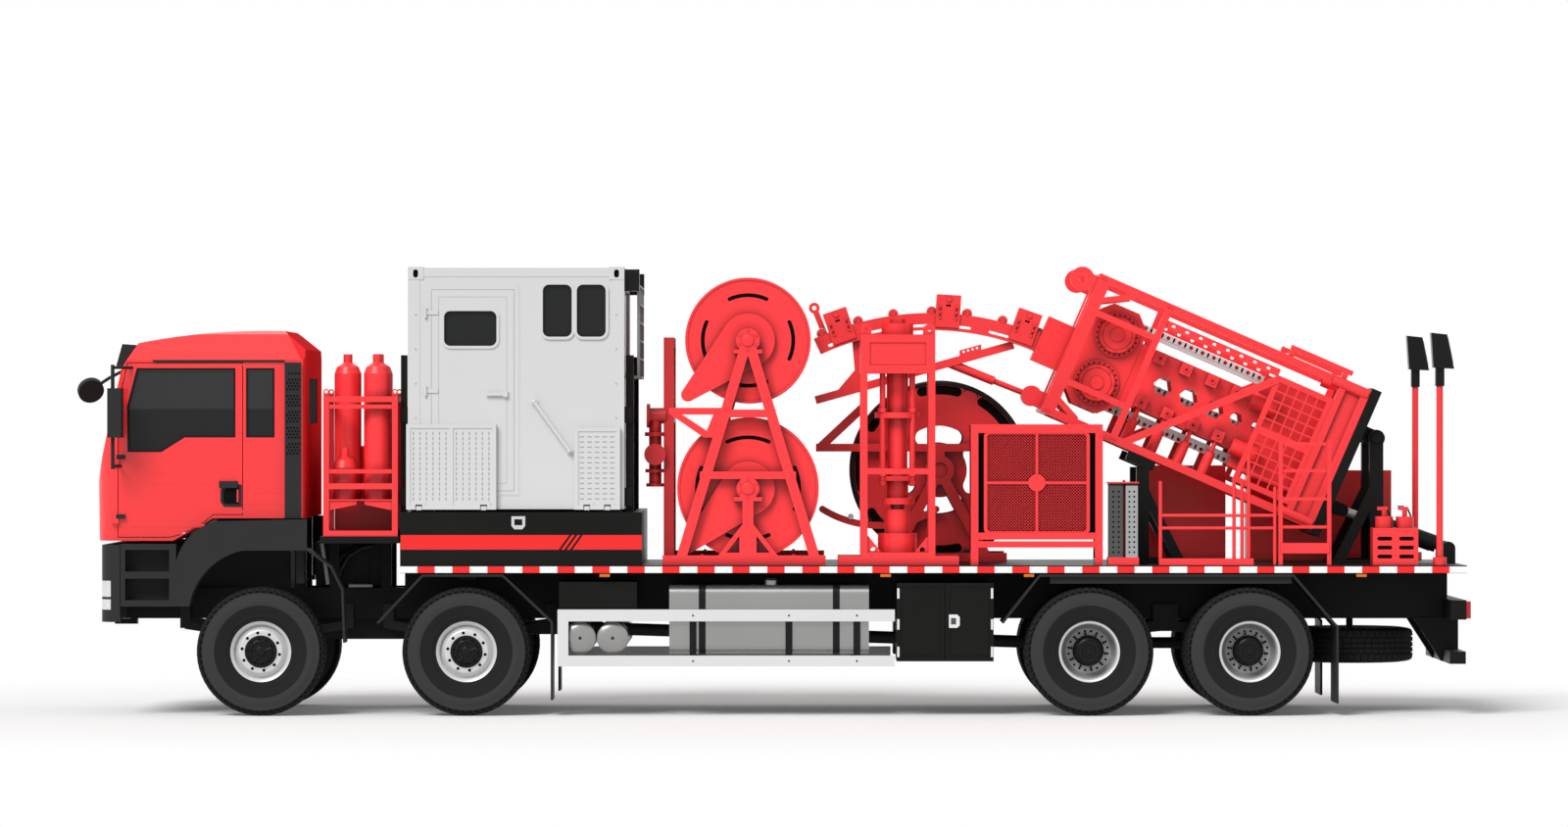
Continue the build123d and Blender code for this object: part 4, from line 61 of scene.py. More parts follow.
# Floor, in metres: half its side, how far along X and Y it reaches, and the fade at its rim
FLOOR_HALF = 40.0
FLOOR_REACH = (13.0, 9.0)
FLOOR_FADE = 0.45
FLOOR_DENSITY = 0.92
FLOOR_COLOR = (0.95, 0.95, 0.95, 1)


def add_object(name, data):
    """New object in the scene."""
    made = bpy.data.objects.new(name, data)
    bpy.context.scene.collection.objects.link(made)
    return made


def feed(tree, node, inputs):
    """Feed a node's sockets, each by a value or by another node's output."""
    for socket, source in inputs.items():
        if isinstance(source, bpy.types.NodeSocket):
            tree.links.new(source, node.inputs[socket])
        else:
            node.inputs[socket].default_value = source


def add_node(tree, kind, inputs=None):
    """New node in a tree, with its sockets fed."""
    made = tree.nodes.new(f"ShaderNode{kind}")
    feed(tree, made, inputs or {})
    return made


# Camera, light and floor
def make_camera():
    """The photograph's view along +Y."""
    data = bpy.data.cameras.new("camera")
    data.sensor_width = SENSOR_MM
    data.lens = SENSOR_MM * FOCAL_PIXELS / PHOTO_WIDTH
    data.clip_end = CAMERA_REACH
    camera = add_object("camera", data)
    camera.location = CAMERA_AT
    camera.rotation_euler = (math.pi / 2, 0, 0)
    bpy.context.scene.camera = camera


def make_world():
    """Even light on surfaces, and plain white to the camera, in reflections and through glass."""
    world = bpy.data.worlds.new("studio")
    bpy.context.scene.world = world
    world.use_nodes = True
    tree = world.node_tree
    tree.nodes.clear()
    path = add_node(tree, "LightPath").outputs
    seen = path["Is Camera Ray"]
    for kind in ("Is Glossy Ray", "Is Transmission Ray"):
        either = add_node(tree, "Math", {0: seen, 1: path[kind]})
        either.operation = "MAXIMUM"
        seen = either.outputs[0]
    strength = add_node(tree, "Mix", {"Factor": seen, "A": AMBIENT, "B": BACKGROUND})
    light = add_node(tree, "Background", {"Color": PURE_WHITE, "Strength": strength.outputs["Result"]})
    add_node(tree, "OutputWorld", {"Surface": light.outputs[0]})


def make_sun():
    """Broad soft light from the front left."""
    data = bpy.data.lights.new("sun", "SUN")
    data.energy = SUN_STRENGTH
    data.angle = SUN_ANGLE
    sun = add_object("sun", data)
    sun.rotation_euler = Vector(SUN_FROM).to_track_quat("Z", "Y").to_euler()


def make_floor():
    """Pale floor that keeps the shadow and fades into the white behind it."""
    mesh = bpy.data.meshes.new("floor")
    corners = [(x * FLOOR_HALF, y * FLOOR_HALF, 0) for x, y in ((-1, -1), (1, -1), (1, 1), (-1, 1))]
    mesh.from_pydata(corners, [], [(0, 1, 2, 3)])
    floor = add_object("floor", mesh)
    finish = bpy.data.materials.new("floor")
    finish.use_nodes = True
    tree = finish.node_tree
    tree.nodes.clear()
    coords = add_node(tree, "TexCoord").outputs["Object"]
    shares = (1 / FLOOR_REACH[0], 1 / FLOOR_REACH[1], 1.0)
    squeeze = add_node(tree, "Mapping", {"Vector": coords, "Scale": shares})
    reach = add_node(tree, "TexGradient", {"Vector": squeeze.outputs[0]})
    reach.gradient_type = "SPHERICAL"
    fade = add_node(tree, "MapRange", {"Value": reach.outputs["Fac"]})
    fade.interpolation_type = "SMOOTHSTEP"
    feed(tree, fade, {"From Max": FLOOR_FADE, "To Max": FLOOR_DENSITY})
    pale = add_node(tree, "BsdfDiffuse", {"Color": FLOOR_COLOR})
    clear = add_node(tree, "BsdfTransparent")
    mix = add_node(tree, "MixShader", {0: fade.outputs[0], 1: clear.outputs[0], 2: pale.outputs[0]})
    add_node(tree, "OutputMaterial", {"Surface": mix.outputs[0]})
    mesh.materials.append(finish)


# Materials: gloss of a clear coat, spread of the roughness, depth of the grain in metres
COAT_ROUGHNESS = 0.06
ROUGH_LOW, ROUGH_HIGH = 0.82, 1.22
GRAIN_DEPTH = 0.002
# Samples of the ambient occlusion that paints shade into crevices
CREVICE_SHADE_SAMPLES = 6
# Painted reflection on a pane: half the height in metres over which its shine changes, and the share of its
# shine that is left below
BAND_BLUR = 0.01
LOW_SHINE = 1 / 8


def surface(
    name, color, rough, metal=0.0, coat=0.0, shine=0.5, shift=0.12, patch=1.6, grain=220.0, bump=0.02,
    stretch=(1, 1, 1), crevice_shade=0.0,
):
    """Painted, moulded or metal surface: colour shift, painted shade in crevices, uneven gloss and a fine
    grain.
    """
    made = bpy.data.materials.new(name)
    made.use_nodes = True
    tree = made.node_tree
    shader = tree.nodes["Principled BSDF"]
    coords = add_node(tree, "TexCoord").outputs["Object"]
    broad = add_node(tree, "TexNoise", {"Vector": coords, "Scale": patch, "Detail": 5.0}).outputs["Fac"]
    tint = add_node(tree, "Mix")
    tint.data_type = "RGBA"
    darker = [c * (1 - shift) for c in color]
    lighter = [min(1.0, c * (1 + shift)) for c in color]
    feed(tree, tint, {"Factor": broad, "A": (*darker, 1), "B": (*lighter, 1)})
    base = tint.outputs["Result"]
    # Painted shade: ambient occlusion darkens the colour in crevices and between parts
    if crevice_shade:
        shade = add_node(tree, "AmbientOcclusion", {"Color": base, "Distance": crevice_shade})
        shade.samples = CREVICE_SHADE_SAMPLES
        base = shade.outputs["Color"]
    gloss = add_node(tree, "MapRange", {
        "Value": broad, "To Min": rough * ROUGH_LOW, "To Max": min(1.0, rough * ROUGH_HIGH),
    })
    scale = add_node(tree, "Mapping", {"Vector": coords, "Scale": stretch})
    fine = add_node(tree, "TexNoise", {"Vector": scale.outputs[0], "Scale": grain, "Detail": 2.0})
    relief = add_node(tree, "Bump", {
        "Height": fine.outputs["Fac"], "Strength": bump, "Distance": GRAIN_DEPTH,
    })
    feed(tree, shader, {
        "Base Color": base, "Roughness": gloss.outputs[0], "Normal": relief.outputs[0], "Metallic": metal,
        "Specular IOR Level": shine, "Coat Weight": coat, "Coat Roughness": COAT_ROUGHNESS,
    })
    return made


def glass(name, color, clear, shine=0.4, band=None):
    """Tinted pane with a faint waviness, which may shine less below a level in metres: a painted reflection
    that leaves its upper band brighter.
    """
    made = surface(name, color, 0.05, shine=shine, bump=0.004, grain=3.0, shift=0.05)
    tree = made.node_tree
    shader = tree.nodes["Principled BSDF"]
    feed(tree, shader, {"Transmission Weight": clear})
    # Painted reflection: full shine only above the level, so the upper band looks lit
    if band:
        coords = add_node(tree, "TexCoord").outputs["Object"]
        height = add_node(tree, "SeparateXYZ", {0: coords})
        reflection_shine = add_node(tree, "MapRange", {
            "Value": height.outputs["Z"], "From Min": band - BAND_BLUR, "From Max": band + BAND_BLUR,
            "To Min": shine * LOW_SHINE, "To Max": shine,
        })
        feed(tree, shader, {"Specular IOR Level": reflection_shine.outputs[0]})
    return made


# The red paint gets painted shade in its crevices
RED = surface("red_paint", (0.97, 0.040, 0.046), 0.34, shine=0.4, shift=0.04, crevice_shade=0.10)
# Darker copy of the red paint, painted shade for grooves, pins, discs and rods
SHADED_RED = surface("painted_shade_red", (0.30, 0.012, 0.014), 0.5, shine=0.2, shift=0.08)
CAB_RED = surface("cab_red_paint", (0.95, 0.026, 0.031), 0.24, coat=0.25, shift=0.03, bump=0.006)
BACK_RED = surface("cab_back_red", (0.80, 0.030, 0.034), 0.7, shine=0.0, shift=0.03)
WHITE = surface("white_paint", (0.66, 0.66, 0.66), 0.36, shine=0.3, shift=0.02)
TAPE_WHITE = surface("tape_white", (0.90, 0.90, 0.90), 0.3, shift=0.02)
TAPE_RED = surface("tape_red", (0.84, 0.008, 0.008), 0.3, shift=0.03)
SEAM = surface("seam_grey", (0.42, 0.42, 0.42), 0.6, shine=0.2, shift=0.05)
BLACK = surface("black_paint", (0.010, 0.010, 0.0095), 0.36, shine=0.07, shift=0.2)
SATIN = surface("satin_black", (0.007, 0.007, 0.007), 0.26, shine=0.15, shift=0.15)
PLASTIC = surface("dark_plastic", (0.025, 0.025, 0.0255), 0.5, shine=0.12, bump=0.08, grain=420.0)
IRON = surface("dark_iron", (0.020, 0.020, 0.020), 0.55, shine=0.12, bump=0.1, grain=90.0)
SILVER = surface("silver_rim", (0.62, 0.62, 0.63), 0.34, metal=0.2, shine=0.4, shift=0.04)
DISC = surface("wheel_disc", (0.42, 0.42, 0.42), 0.4, metal=0.3, shine=0.3, shift=0.06)
ALUMINIUM = surface(
    "brushed_aluminium", (0.31, 0.31, 0.305), 0.26, metal=0.8, grain=60.0, stretch=(1, 30, 30), shift=0.06,
)
RAIL = surface("guard_rail", (0.68, 0.68, 0.68), 0.4, shine=0.3, shift=0.03)
STEEL = surface("bright_steel", (0.76, 0.76, 0.76), 0.28, metal=0.2, shift=0.05)
RUBBER = surface("tyre_rubber", (0.040, 0.040, 0.040), 0.6, shine=0.07, bump=0.06, grain=260.0)
TREAD = surface("tyre_tread", (0.016, 0.016, 0.016), 0.7, shine=0.07, bump=0.1, grain=180.0, shift=0.15)
HOSE = surface("hose_rubber", (0.010, 0.010, 0.010), 0.42, shine=0.2, shift=0.1)
GREY = surface("grey_paint", (0.36, 0.36, 0.36), 0.4, shine=0.3)
DARK_GREY = surface("dark_grey_paint", (0.075, 0.075, 0.075), 0.45, shine=0.2)
# Near-black painted shade, for holes, slots, recesses and dark openings
SHADE_BLACK = surface("painted_shade_black", (0.005, 0.005, 0.005), 0.8, shine=0.05, shift=0.1)
SEAT = surface("seat_cloth", (0.05, 0.05, 0.055), 0.85, shine=0.1, bump=0.3, grain=500.0)
GLASS = glass("dark_glass", (0.016, 0.017, 0.018), 0.3, shine=0.1)
# The cab's panes get a painted reflection, brighter above 2.68 m
CAB_GLASS = glass("cab_glass", (0.018, 0.019, 0.02), 0.35, band=2.68)
LAMP = glass("lamp_glass", (0.9, 0.9, 0.9), 0.3)
AMBER = glass("amber_lens", (0.9, 0.25, 0.01), 0.4)
LENS = glass("red_lens", (0.7, 0.01, 0.01), 0.4)


# Sizes of the model that the added pieces share, in millimetres
FRONT_X = -5775
LEFT, RIGHT = -1, 1
HANDS = (LEFT, RIGHT)
SIDES = ((LEFT, "left"), (RIGHT, "right"))
WHEEL_R = 561
AXLES = {"1": -4378, "2": -2583, "3": 2854, "4": 4254}
STEERED = ("1", "2")
FRONT_WHEEL_Y = 1080
REAR_WHEEL_Y = 1085
TWIN_SPACING = 345
DECK_X = (-3161, 6145)
DECK_Z = (1247, 1315)
DECK_HALF = 1250
# The injector: X and Z of its pivot, how far it leans, and its base plate's centre from the pivot
PIVOT = (5421, 2422)
TILT = math.radians(23.5)
BASE_U, BASE_V = -220, -305
# Distance in metres under which points are joined, and the angle from which an edge is sharp
WELD = 1e-6
SHARP_ANGLE = math.radians(32)
# Faces of a box whose corners run through Z, then Y, then X
BOX_FACES = ((0, 1, 3, 2), (4, 6, 7, 5), (0, 4, 5, 1), (2, 3, 7, 6), (0, 2, 6, 4), (1, 5, 7, 3))


def at(station):
    """X of a station measured back from the bumper's face."""
    return FRONT_X + station


def spot(u, v, y):
    """Point of the injector, measured from its base plate's centre."""
    c, s = math.cos(TILT), math.sin(TILT)
    u, v = BASE_U + u, BASE_V + v
    return PIVOT[0] + u * c + v * s, y, PIVOT[1] - u * s + v * c


def span(hand, inner, outer):
    """Low and high Y between two distances from the middle, on one side."""
    return sorted((hand * inner, hand * outer))


def circle(count, radius, start=0.0):
    """Points spaced evenly round a circle."""
    turns = [start + math.tau * i / count for i in range(count)]
    return [(radius * math.cos(turn), radius * math.sin(turn)) for turn in turns]


def inset(outline, depth):
    """Outline drawn in by a depth, or out by a negative one; the points run counterclockwise."""
    drawn = []
    for before, here, after in zip(outline[-1:] + outline[:-1], outline, outline[1:] + outline[:1]):
        into = (Vector(here) - Vector(before)).normalized()
        out_of = (Vector(after) - Vector(here)).normalized()
        normal = Vector((-into.y, into.x)) + Vector((-out_of.y, out_of.x))
        drawn.append(tuple(Vector(here) + normal * (2 * depth / normal.length_squared)))
    return drawn


def moved(profile, start, way):
    """Profile moved to a start and run one way or the other along its axis."""
    return [(start + way * offset, radius) for offset, radius in profile]


def ring_faces(steps, count):
    """Faces between rows of points round a closed ring."""
    faces = []
    for step in range(steps):
        here, there = step * count, (step + 1) % steps * count
        faces.extend((here + i, there + i, there + i + 1, here + i + 1) for i in range(count - 1))
    return faces


def prism_faces(count):
    """Ends and sides of a prism with a number of sides."""
    ends = [tuple(range(count)), tuple(range(count, 2 * count))]
    return ends + [(i, (i + 1) % count, count + (i + 1) % count, count + i) for i in range(count)]


class Shape:
    """Gathers simple forms, in millimetres, into one mesh with several finishes."""

    def __init__(self):
        self.points = []
        self.faces = []
        self.marks = []
        self.finishes = []
        self.mark = 0

    def use(self, finish):
        """Finish of what is added next."""
        if finish not in self.finishes:
            self.finishes.append(finish)
        self.mark = self.finishes.index(finish)

    def add(self, points, faces):
        """Add points and the faces between them."""
        start = len(self.points)
        self.points.extend(tuple(point) for point in points)
        self.faces.extend([start + i for i in face] for face in faces)
        self.marks.extend(self.mark for _ in faces)

    def box(self, x, y, z):
        """Box between the low and the high value on each axis."""
        self.add([(a, b, c) for a in x for b in y for c in z], BOX_FACES)

    def slab(self, outline, y):
        """Outline in X and Z, run between two values of Y."""
        self.add([(x, level, z) for level in y for x, z in outline], prism_faces(len(outline)))

    def border(self, outline, width, y):
        """Frame of a width inside an outline in X and Z, run between two values of Y."""
        count = len(outline)
        inner = inset(outline, width)
        points = [(x, level, z) for level in y for ring in (outline, inner) for x, z in ring]
        faces = []
        for i in range(count):
            j = (i + 1) % count
            for a, b in ((0, 1), (2, 3), (0, 2), (1, 3)):
                faces.append((a * count + i, a * count + j, b * count + j, b * count + i))
        self.add(points, faces)

    def lathe(self, middle, axis, profile, sides=48):
        """Profile of offset and radius pairs turned about an axis through a middle point."""
        axis = Vector(axis).normalized()
        first = axis.orthogonal().normalized()
        second = axis.cross(first)
        points = []
        for x, y in circle(sides, 1.0):
            out = first * x + second * y
            points.extend(Vector(middle) + axis * offset + out * radius for offset, radius in profile)
        self.add(points, ring_faces(sides, len(profile)))

    def rod(self, start, end, radius, sides=16):
        """Round or, with few sides, edged bar between two points."""
        line = Vector(end) - Vector(start)
        profile = ((0, 0), (0, radius), (line.length, radius), (line.length, 0))
        self.lathe(start, line, profile, sides)

    def pin(self, x, z, y, radius, sides=16):
        """Bar along Y, from one value of Y to another."""
        self.rod((x, y[0], z), (x, y[1], z), radius, sides)

    def mesh(self, name):
        """Mesh of all that was added, in metres, smooth across gentle edges."""
        made = bpy.data.meshes.new(name)
        made.from_pydata([tuple(c / 1000 for c in point) for point in self.points], [], self.faces)
        for finish in self.finishes:
            made.materials.append(finish)
        made.polygons.foreach_set("material_index", self.marks)
        work = bmesh.new()
        work.from_mesh(made)
        bmesh.ops.remove_doubles(work, verts=work.verts, dist=WELD)
        bmesh.ops.recalc_face_normals(work, faces=work.faces)
        work.to_mesh(made)
        work.free()
        made.polygons.foreach_set("use_smooth", [True] * len(made.polygons))
        made.set_sharp_from_angle(angle=SHARP_ANGLE)
        return made

    def piece(self, name, body):
        """Make the piece and let it ride on a body."""
        return place(self.mesh(name), name, body)


def place(mesh, name, body, where=None):
    """Put a mesh in the scene as a piece that rides on a body."""
    made = add_object(name, mesh)
    if where:
        made.matrix_world = where
    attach(made, body)
    return made


# Wheels: tyres with cut tread, rims, discs, hubs and nuts, turned about the Y axis with Y outward
# Offset from the tyre's middle and radius, from the bead out to the shoulder
SIDEWALL = (
    (104, 262), (124, 268), (129, 288), (133, 300), (137, 303), (138, 310), (137, 316), (143, 340),
    (150, 372), (154, 405), (155, 430), (154, 452), (152, 461), (150, 463), (150, 470), (148, 474),
    (146, 498), (143, 515),
)
# Number of points in the sidewall's dark ring by the rim
DARK_RINGS = 10
# Offset, radius and row of blocks, from the shoulder to the middle of the tread
TREAD_HALF = (
    (144, 512, ""), (142, 518, "edge"), (137, 538, "edge"), (129, 551, "edge"), (112, 558, "edge"),
    (88, 561, "edge"), (78, 561, "edge"), (76, 548, ""), (66, 548, ""), (64, 561, "middle"),
    (30, 561, "middle"), (28, 549, ""), (18, 549, ""), (16, 561, "middle"),
)
TREAD_BLOCKS = 56
GROOVE_DEPTH = 13
# Share of a block's length, and the row that is cut there
BLOCK_STEPS = (
    (0, "edge"), (0.14, "edge"), (0.16, ""), (0.485, ""), (0.5, "middle"), (0.6, "middle"), (0.62, ""),
    (0.985, ""),
)
# Offset and radius across a dash on the shoulder, and the share of a block that it spans
DASH = ((147.5, 520), (142.5, 534))
DASH_SHARE = (0.22, 0.80)
# Offset and radius of the turned pieces
RIM_SEAT = ((-104, 262), (-60, 250), (60, 250), (104, 262), (108, 284), (114, 290), (121, 289), (122, 280))
FRONT_RIM = RIM_SEAT + ((117, 268), (108, 250), (96, 238), (70, 233), (52, 231))
FRONT_DISC = ((52, 231), (60, 222), (84, 201), (98, 192), (103, 184), (104, 176), (104, 100))
FRONT_DRUM = ((-122, 289), (-122, 262), (-104, 240), (30, 236), (84, 180), (84, 42))
FRONT_HUB = (
    (100, 142), (110, 141), (114, 136), (114, 112), (120, 105), (138, 104), (146, 99), (149, 92), (149, 84),
    (138, 80), (138, 0),
)
FRONT_CAP = ((136, 44), (147, 42), (150, 36), (150, 0))
REAR_RIM = RIM_SEAT + ((120, 266), (112, 248), (98, 241), (40, 239), (-60, 238))
REAR_DISC = ((-60, 238), (-100, 230), (-136, 214), (-148, 204), (-154, 192), (-154, 118))
REAR_DRUM = ((-330, 200), (-330, 60), (-190, 60), (-190, 118), (-150, 118))
REAR_HUB = (
    (-156, 136), (-136, 136), (-132, 130), (-130, 118), (-6, 118), (6, 110), (10, 100), (34, 99), (40, 92),
)
REAR_CAP = ((40, 92), (40, 64), (33, 58), (33, 34), (40, 30), (40, 0))
SPARE_DISC = ((-104, 262), (-60, 250), (-60, 40), (-30, 40), (-30, 250), (104, 262))
SPARE_X, SPARE_Z = at(10995), 590
HUB_RIBS = 5


def add_turned(shape, profile, sides=48):
    """Profile of offsets and radii turned about the wheel's axle."""
    shape.lathe((0, 0, 0), (0, 1, 0), profile, sides)


def on_wheel(turn, offset, radius):
    """Point at a turn round the axle."""
    return radius * math.cos(turn), offset, radius * math.sin(turn)


def add_tyre(shape, middle):
    """Tyre with dark and paler rings on its sidewalls, shoulder dashes in painted shade, and a tread cut into
    blocks.
    """
    for way in (-1, 1):
        for finish, rings in ((TREAD, SIDEWALL[:DARK_RINGS]), (RUBBER, SIDEWALL[DARK_RINGS - 1:])):
            shape.use(finish)
            add_turned(shape, moved(rings, middle, way), 96)
        # Dashes on the shoulder, in painted shade
        shape.use(SHADE_BLACK)
        for block in range(TREAD_BLOCKS):
            turns = [math.tau * (block + share) / TREAD_BLOCKS for share in DASH_SHARE]
            corners = [on_wheel(turn, middle + way * offset, r) for turn in turns for offset, r in DASH]
            shape.add(corners, ((0, 1, 3, 2),))
    shape.use(TREAD)
    section = TREAD_HALF + tuple((-offset, radius, row) for offset, radius, row in reversed(TREAD_HALF))
    points = []
    for block in range(TREAD_BLOCKS):
        for share, cut in BLOCK_STEPS:
            turn = math.tau * (block + share) / TREAD_BLOCKS
            for offset, radius, row in section:
                level = radius - GROOVE_DEPTH if row and row == cut else radius
                points.append(on_wheel(turn, middle + offset, level))
    shape.add(points, ring_faces(TREAD_BLOCKS * len(BLOCK_STEPS), len(section)))


def add_ring(shape, count, radius, offset, size, sides=12):
    """Nuts or holes round a wheel, between two offsets."""
    for x, z in circle(count, radius, 0.15):
        shape.pin(x, z, offset, size, sides)


def front_wheel_mesh():
    """Single wheel with a convex disc and a ribbed hub."""
    shape = Shape()
    add_tyre(shape, 0)
    shape.use(SILVER)
    add_turned(shape, FRONT_RIM, 72)
    add_turned(shape, FRONT_DISC, 72)
    shape.use(IRON)
    add_turned(shape, FRONT_DRUM)
    shape.use(SATIN)
    add_turned(shape, FRONT_HUB)
    add_turned(shape, FRONT_CAP)
    for (x, z), (far_x, far_z) in zip(circle(HUB_RIBS, 46, 0.3), circle(HUB_RIBS, 97, 0.3)):
        shape.rod((x, 140, z), (far_x, 140, far_z), 13, 6)
    add_ring(shape, count=10, radius=125, offset=(110, 130), size=11, sides=6)
    # Holes in the disc, drawn as pins of painted shade
    shape.use(SHADE_BLACK)
    add_ring(shape, count=10, radius=165, offset=(100, 104.8), size=14)
    return shape.mesh("single_wheel")


def rear_wheel_mesh():
    """Twin wheel with dished discs back to back."""
    shape = Shape()
    add_tyre(shape, 0)
    add_tyre(shape, -TWIN_SPACING)
    for way, start in ((1, 0), (-1, -TWIN_SPACING)):
        shape.use(SILVER)
        add_turned(shape, moved(REAR_RIM, start, way), 72)
        shape.use(DISC)
        add_turned(shape, moved(REAR_DISC, start, way), 72)
    shape.use(SATIN)
    add_turned(shape, REAR_HUB)
    add_turned(shape, REAR_CAP)
    add_ring(shape, count=10, radius=86, offset=(28, 39), size=7, sides=6)
    # Holes in the discs, drawn as pins of painted shade
    shape.use(SHADE_BLACK)
    add_ring(shape, count=20, radius=172, offset=(-160, -153), size=11)
    shape.use(IRON)
    add_ring(shape, count=10, radius=150, offset=(-156, -134), size=12, sides=6)
    add_turned(shape, REAR_DRUM, 32)
    return shape.mesh("twin_wheel")


def make_wheels():
    """Wheels on their axles and the spare under the tail."""
    single = front_wheel_mesh()
    twin = rear_wheel_mesh()
    for number, x in AXLES.items():
        mesh, y = (single, FRONT_WHEEL_Y) if number in STEERED else (twin, REAR_WHEEL_Y)
        for hand, name in SIDES:
            turn = Matrix.Rotation(0 if hand == RIGHT else math.pi, 4, "Z")
            where = Matrix.Translation((x / 1000, hand * y / 1000, WHEEL_R / 1000)) @ turn
            node = f"wheel_{number}_{name}"
            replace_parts(place(mesh, f"dressed_{node}", node, where), node)
    spare = Shape()
    add_tyre(spare, 0)
    spare.use(IRON)
    add_turned(spare, SPARE_DISC)
    spare.pin(0, 0, (-60, 386), 30)
    where = Matrix.Translation((SPARE_X / 1000, 0, SPARE_Z / 1000)) @ Matrix.Rotation(math.pi / 2, 4, "X")
    dressed = place(spare.mesh("spare_tyre"), "dressed_spare_wheel", "chassis", where)
    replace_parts(dressed, "spare_wheel")


# Deck, chassis and side gear
TAPE_PITCH = 152
TAPE_Z = (DECK_Z[0] + 3, DECK_Z[1] - 9)
STRIPE_X = (-3155, -1051)
STRIPE_Y = (1239, 1241.5)
STRIPE_Z = (1452, 1580)
STRIPE_BARS = (-1776, -1727, -1678)
STRIPE_LEAN = 92
BAR_WIDTH = 22
AIR_TANK_X, AIR_TANK_Z = (at(4184), at(4468)), 679
# Distance out and radius of an air tank's domed end
AIR_TANK_END = ((1176, 138), (1186, 134), (1196, 116), (1203, 82), (1206, 40), (1206, 0))
FILLER_X = at(5850)
LATCH = [(1628, 770), (1700, 770), (1722, 792), (1722, 864), (1700, 886), (1628, 886)]
HINGE_X = (at(6947) + 4, at(7793) - 24)
HINGE_Z = (560, 800, 1070)
# Grey edge of the rear mudguards' top sheets, below the deck
MUDGUARD_BAND_X, MUDGUARD_BAND_Z = (2510, 4620), (1156, 1240)
GUARD_BOLT_X, GUARD_BOLT_Z = (at(5170), at(6007), at(6600)), (481, 878)


def make_tape():
    """Red and white reflecting tape along the deck's edges."""
    shape = Shape()
    length = DECK_X[1] - DECK_X[0]
    count = round(length / TAPE_PITCH)
    pitch = length / count
    for step in range(count):
        shape.use(TAPE_RED if step % 2 else TAPE_WHITE)
        x = DECK_X[0] + step * pitch
        for hand in HANDS:
            shape.box((x, x + pitch), span(hand, DECK_HALF - 1, DECK_HALF + 1), TAPE_Z)
    shape.piece("deck_tape", "chassis")


def make_stripe():
    """Red band along the cabin's base, crossed by three leaning black bars."""
    shape = Shape()
    shape.use(TAPE_RED)
    low, high = STRIPE_Z
    starts = (STRIPE_X[0],) + tuple(x + BAR_WIDTH for x in STRIPE_BARS)
    ends = STRIPE_BARS + (STRIPE_X[1],)
    for start, end in zip(starts, ends):
        first = 0 if start == STRIPE_X[0] else STRIPE_LEAN
        last = 0 if end == STRIPE_X[1] else STRIPE_LEAN
        outline = [(start, low), (end, low), (end + last, high), (start + first, high)]
        for hand in HANDS:
            shape.slab(outline, span(hand, *STRIPE_Y))
    shape.piece("base_stripe", "chassis")


def make_side_gear():
    """Air tanks' ends, fuel cap, toolbox latch and hinges, mudguard edges and guard bolts."""
    shape = Shape()
    for hand in HANDS:
        for x in AIR_TANK_X:
            shape.use(ALUMINIUM)
            shape.lathe((x, 0, AIR_TANK_Z), (0, hand, 0), AIR_TANK_END)
            shape.use(IRON)
            shape.pin(x, AIR_TANK_Z, (hand * 1200, hand * 1210), 14)
        shape.use(SATIN)
        shape.rod((FILLER_X, hand * 1040, 1180), (FILLER_X, hand * 1040, 1200), 70, 24)
        shape.use(STEEL)
        shape.slab(LATCH, span(hand, 1218, 1236))
        for z in HINGE_Z:
            for x in HINGE_X:
                shape.box((x, x + 20), span(hand, 1220, 1230), (z - 45, z + 45))
        shape.use(DARK_GREY)
        shape.box((1645, 1690), span(hand, 1230, 1237), (800, 856))
        shape.use(PLASTIC)
        shape.box(MUDGUARD_BAND_X, span(hand, 1196, 1206), MUDGUARD_BAND_Z)
        shape.use(IRON)
        for x in GUARD_BOLT_X:
            for z in GUARD_BOLT_Z:
                shape.pin(x, z, (hand * 1240, hand * 1248), 9, 6)
    shape.piece("side_gear_details", "chassis")


# Cab: windows' outlines in X and Z, and the left, right, low and high edges of the handle's plate
DOOR_WINDOW = [
    (at(240), 2315), (at(518), 2315), (at(723), 2443), (at(1158), 2443), (at(1158), 3025), (at(318), 3025),
    (at(235), 2700),
]
QUARTER_WINDOW = [(at(1275), 2443), (at(1500), 2443), (at(1500), 3025), (at(1275), 3025)]
SEAL_GROWTH, SEAL_WIDTH = 12, 16
CAB_HALF = 1120
HANDLE = (at(1040), at(1225), 1826, 2018)
# Start, end and level of the creases pressed into a door, and into the cab's side behind it
DOOR_CREASES = ((at(160), at(1130), 2118), (at(160), at(900), 1650), (at(160), at(980), 2030))
SIDE_CREASES = tuple((at(1240), at(1600), z) for z in (1850, 1950, 2130))
# Holes in the corner panel: first hole, pitches, rows and columns; every fifth row is left out
PANEL_X, PANEL_Z = at(1630), 2290
PANEL_PITCH_X, PANEL_PITCH_Z = 29, 28
PANEL_ROWS, PANEL_COLUMNS = 26, 4
# Engine cover under the cab, and the intake box between the cab and the rack's platform
ENGINE_COVER = [
    (at(560), 1480), (at(1650), 1480), (at(1650), 1715), (at(985), 1715), (at(640), 1518), (at(560), 1518),
]
COVER_HALF = 330
INTAKE_X, INTAKE_Z = (at(1815), at(2395)), (1115, 1500)
INTAKE_HALF, RIB_HALF = 260, 272
# Stations and levels along a bent pipe beside the intake box
PIPE_BEND = ((1950, 1130), (1990, 1260), (2060, 1380), (2170, 1450))
PIPE_END = (2330, 1470)
PIPE_Y, PIPE_SPACING = 330, 60


def add_crease(shape, hand, start, end, z):
    """Pressed ridge along the cab's side at a level."""
    ridge = ((0, z - 10), (4, z), (0, z + 26))
    points = [(x, hand * (CAB_HALF - 1 + out), level) for x in (start, end) for out, level in ridge]
    shape.add(points, ((0, 1, 4, 3), (1, 2, 5, 4), (0, 2, 1), (3, 4, 5)))


def add_seal(shape, hand, window):
    """Black seal round a window in the cab's side."""
    shape.use(SATIN)
    shape.border(inset(window, -SEAL_GROWTH), SEAL_WIDTH, span(hand, CAB_HALF - 6, CAB_HALF + 2))


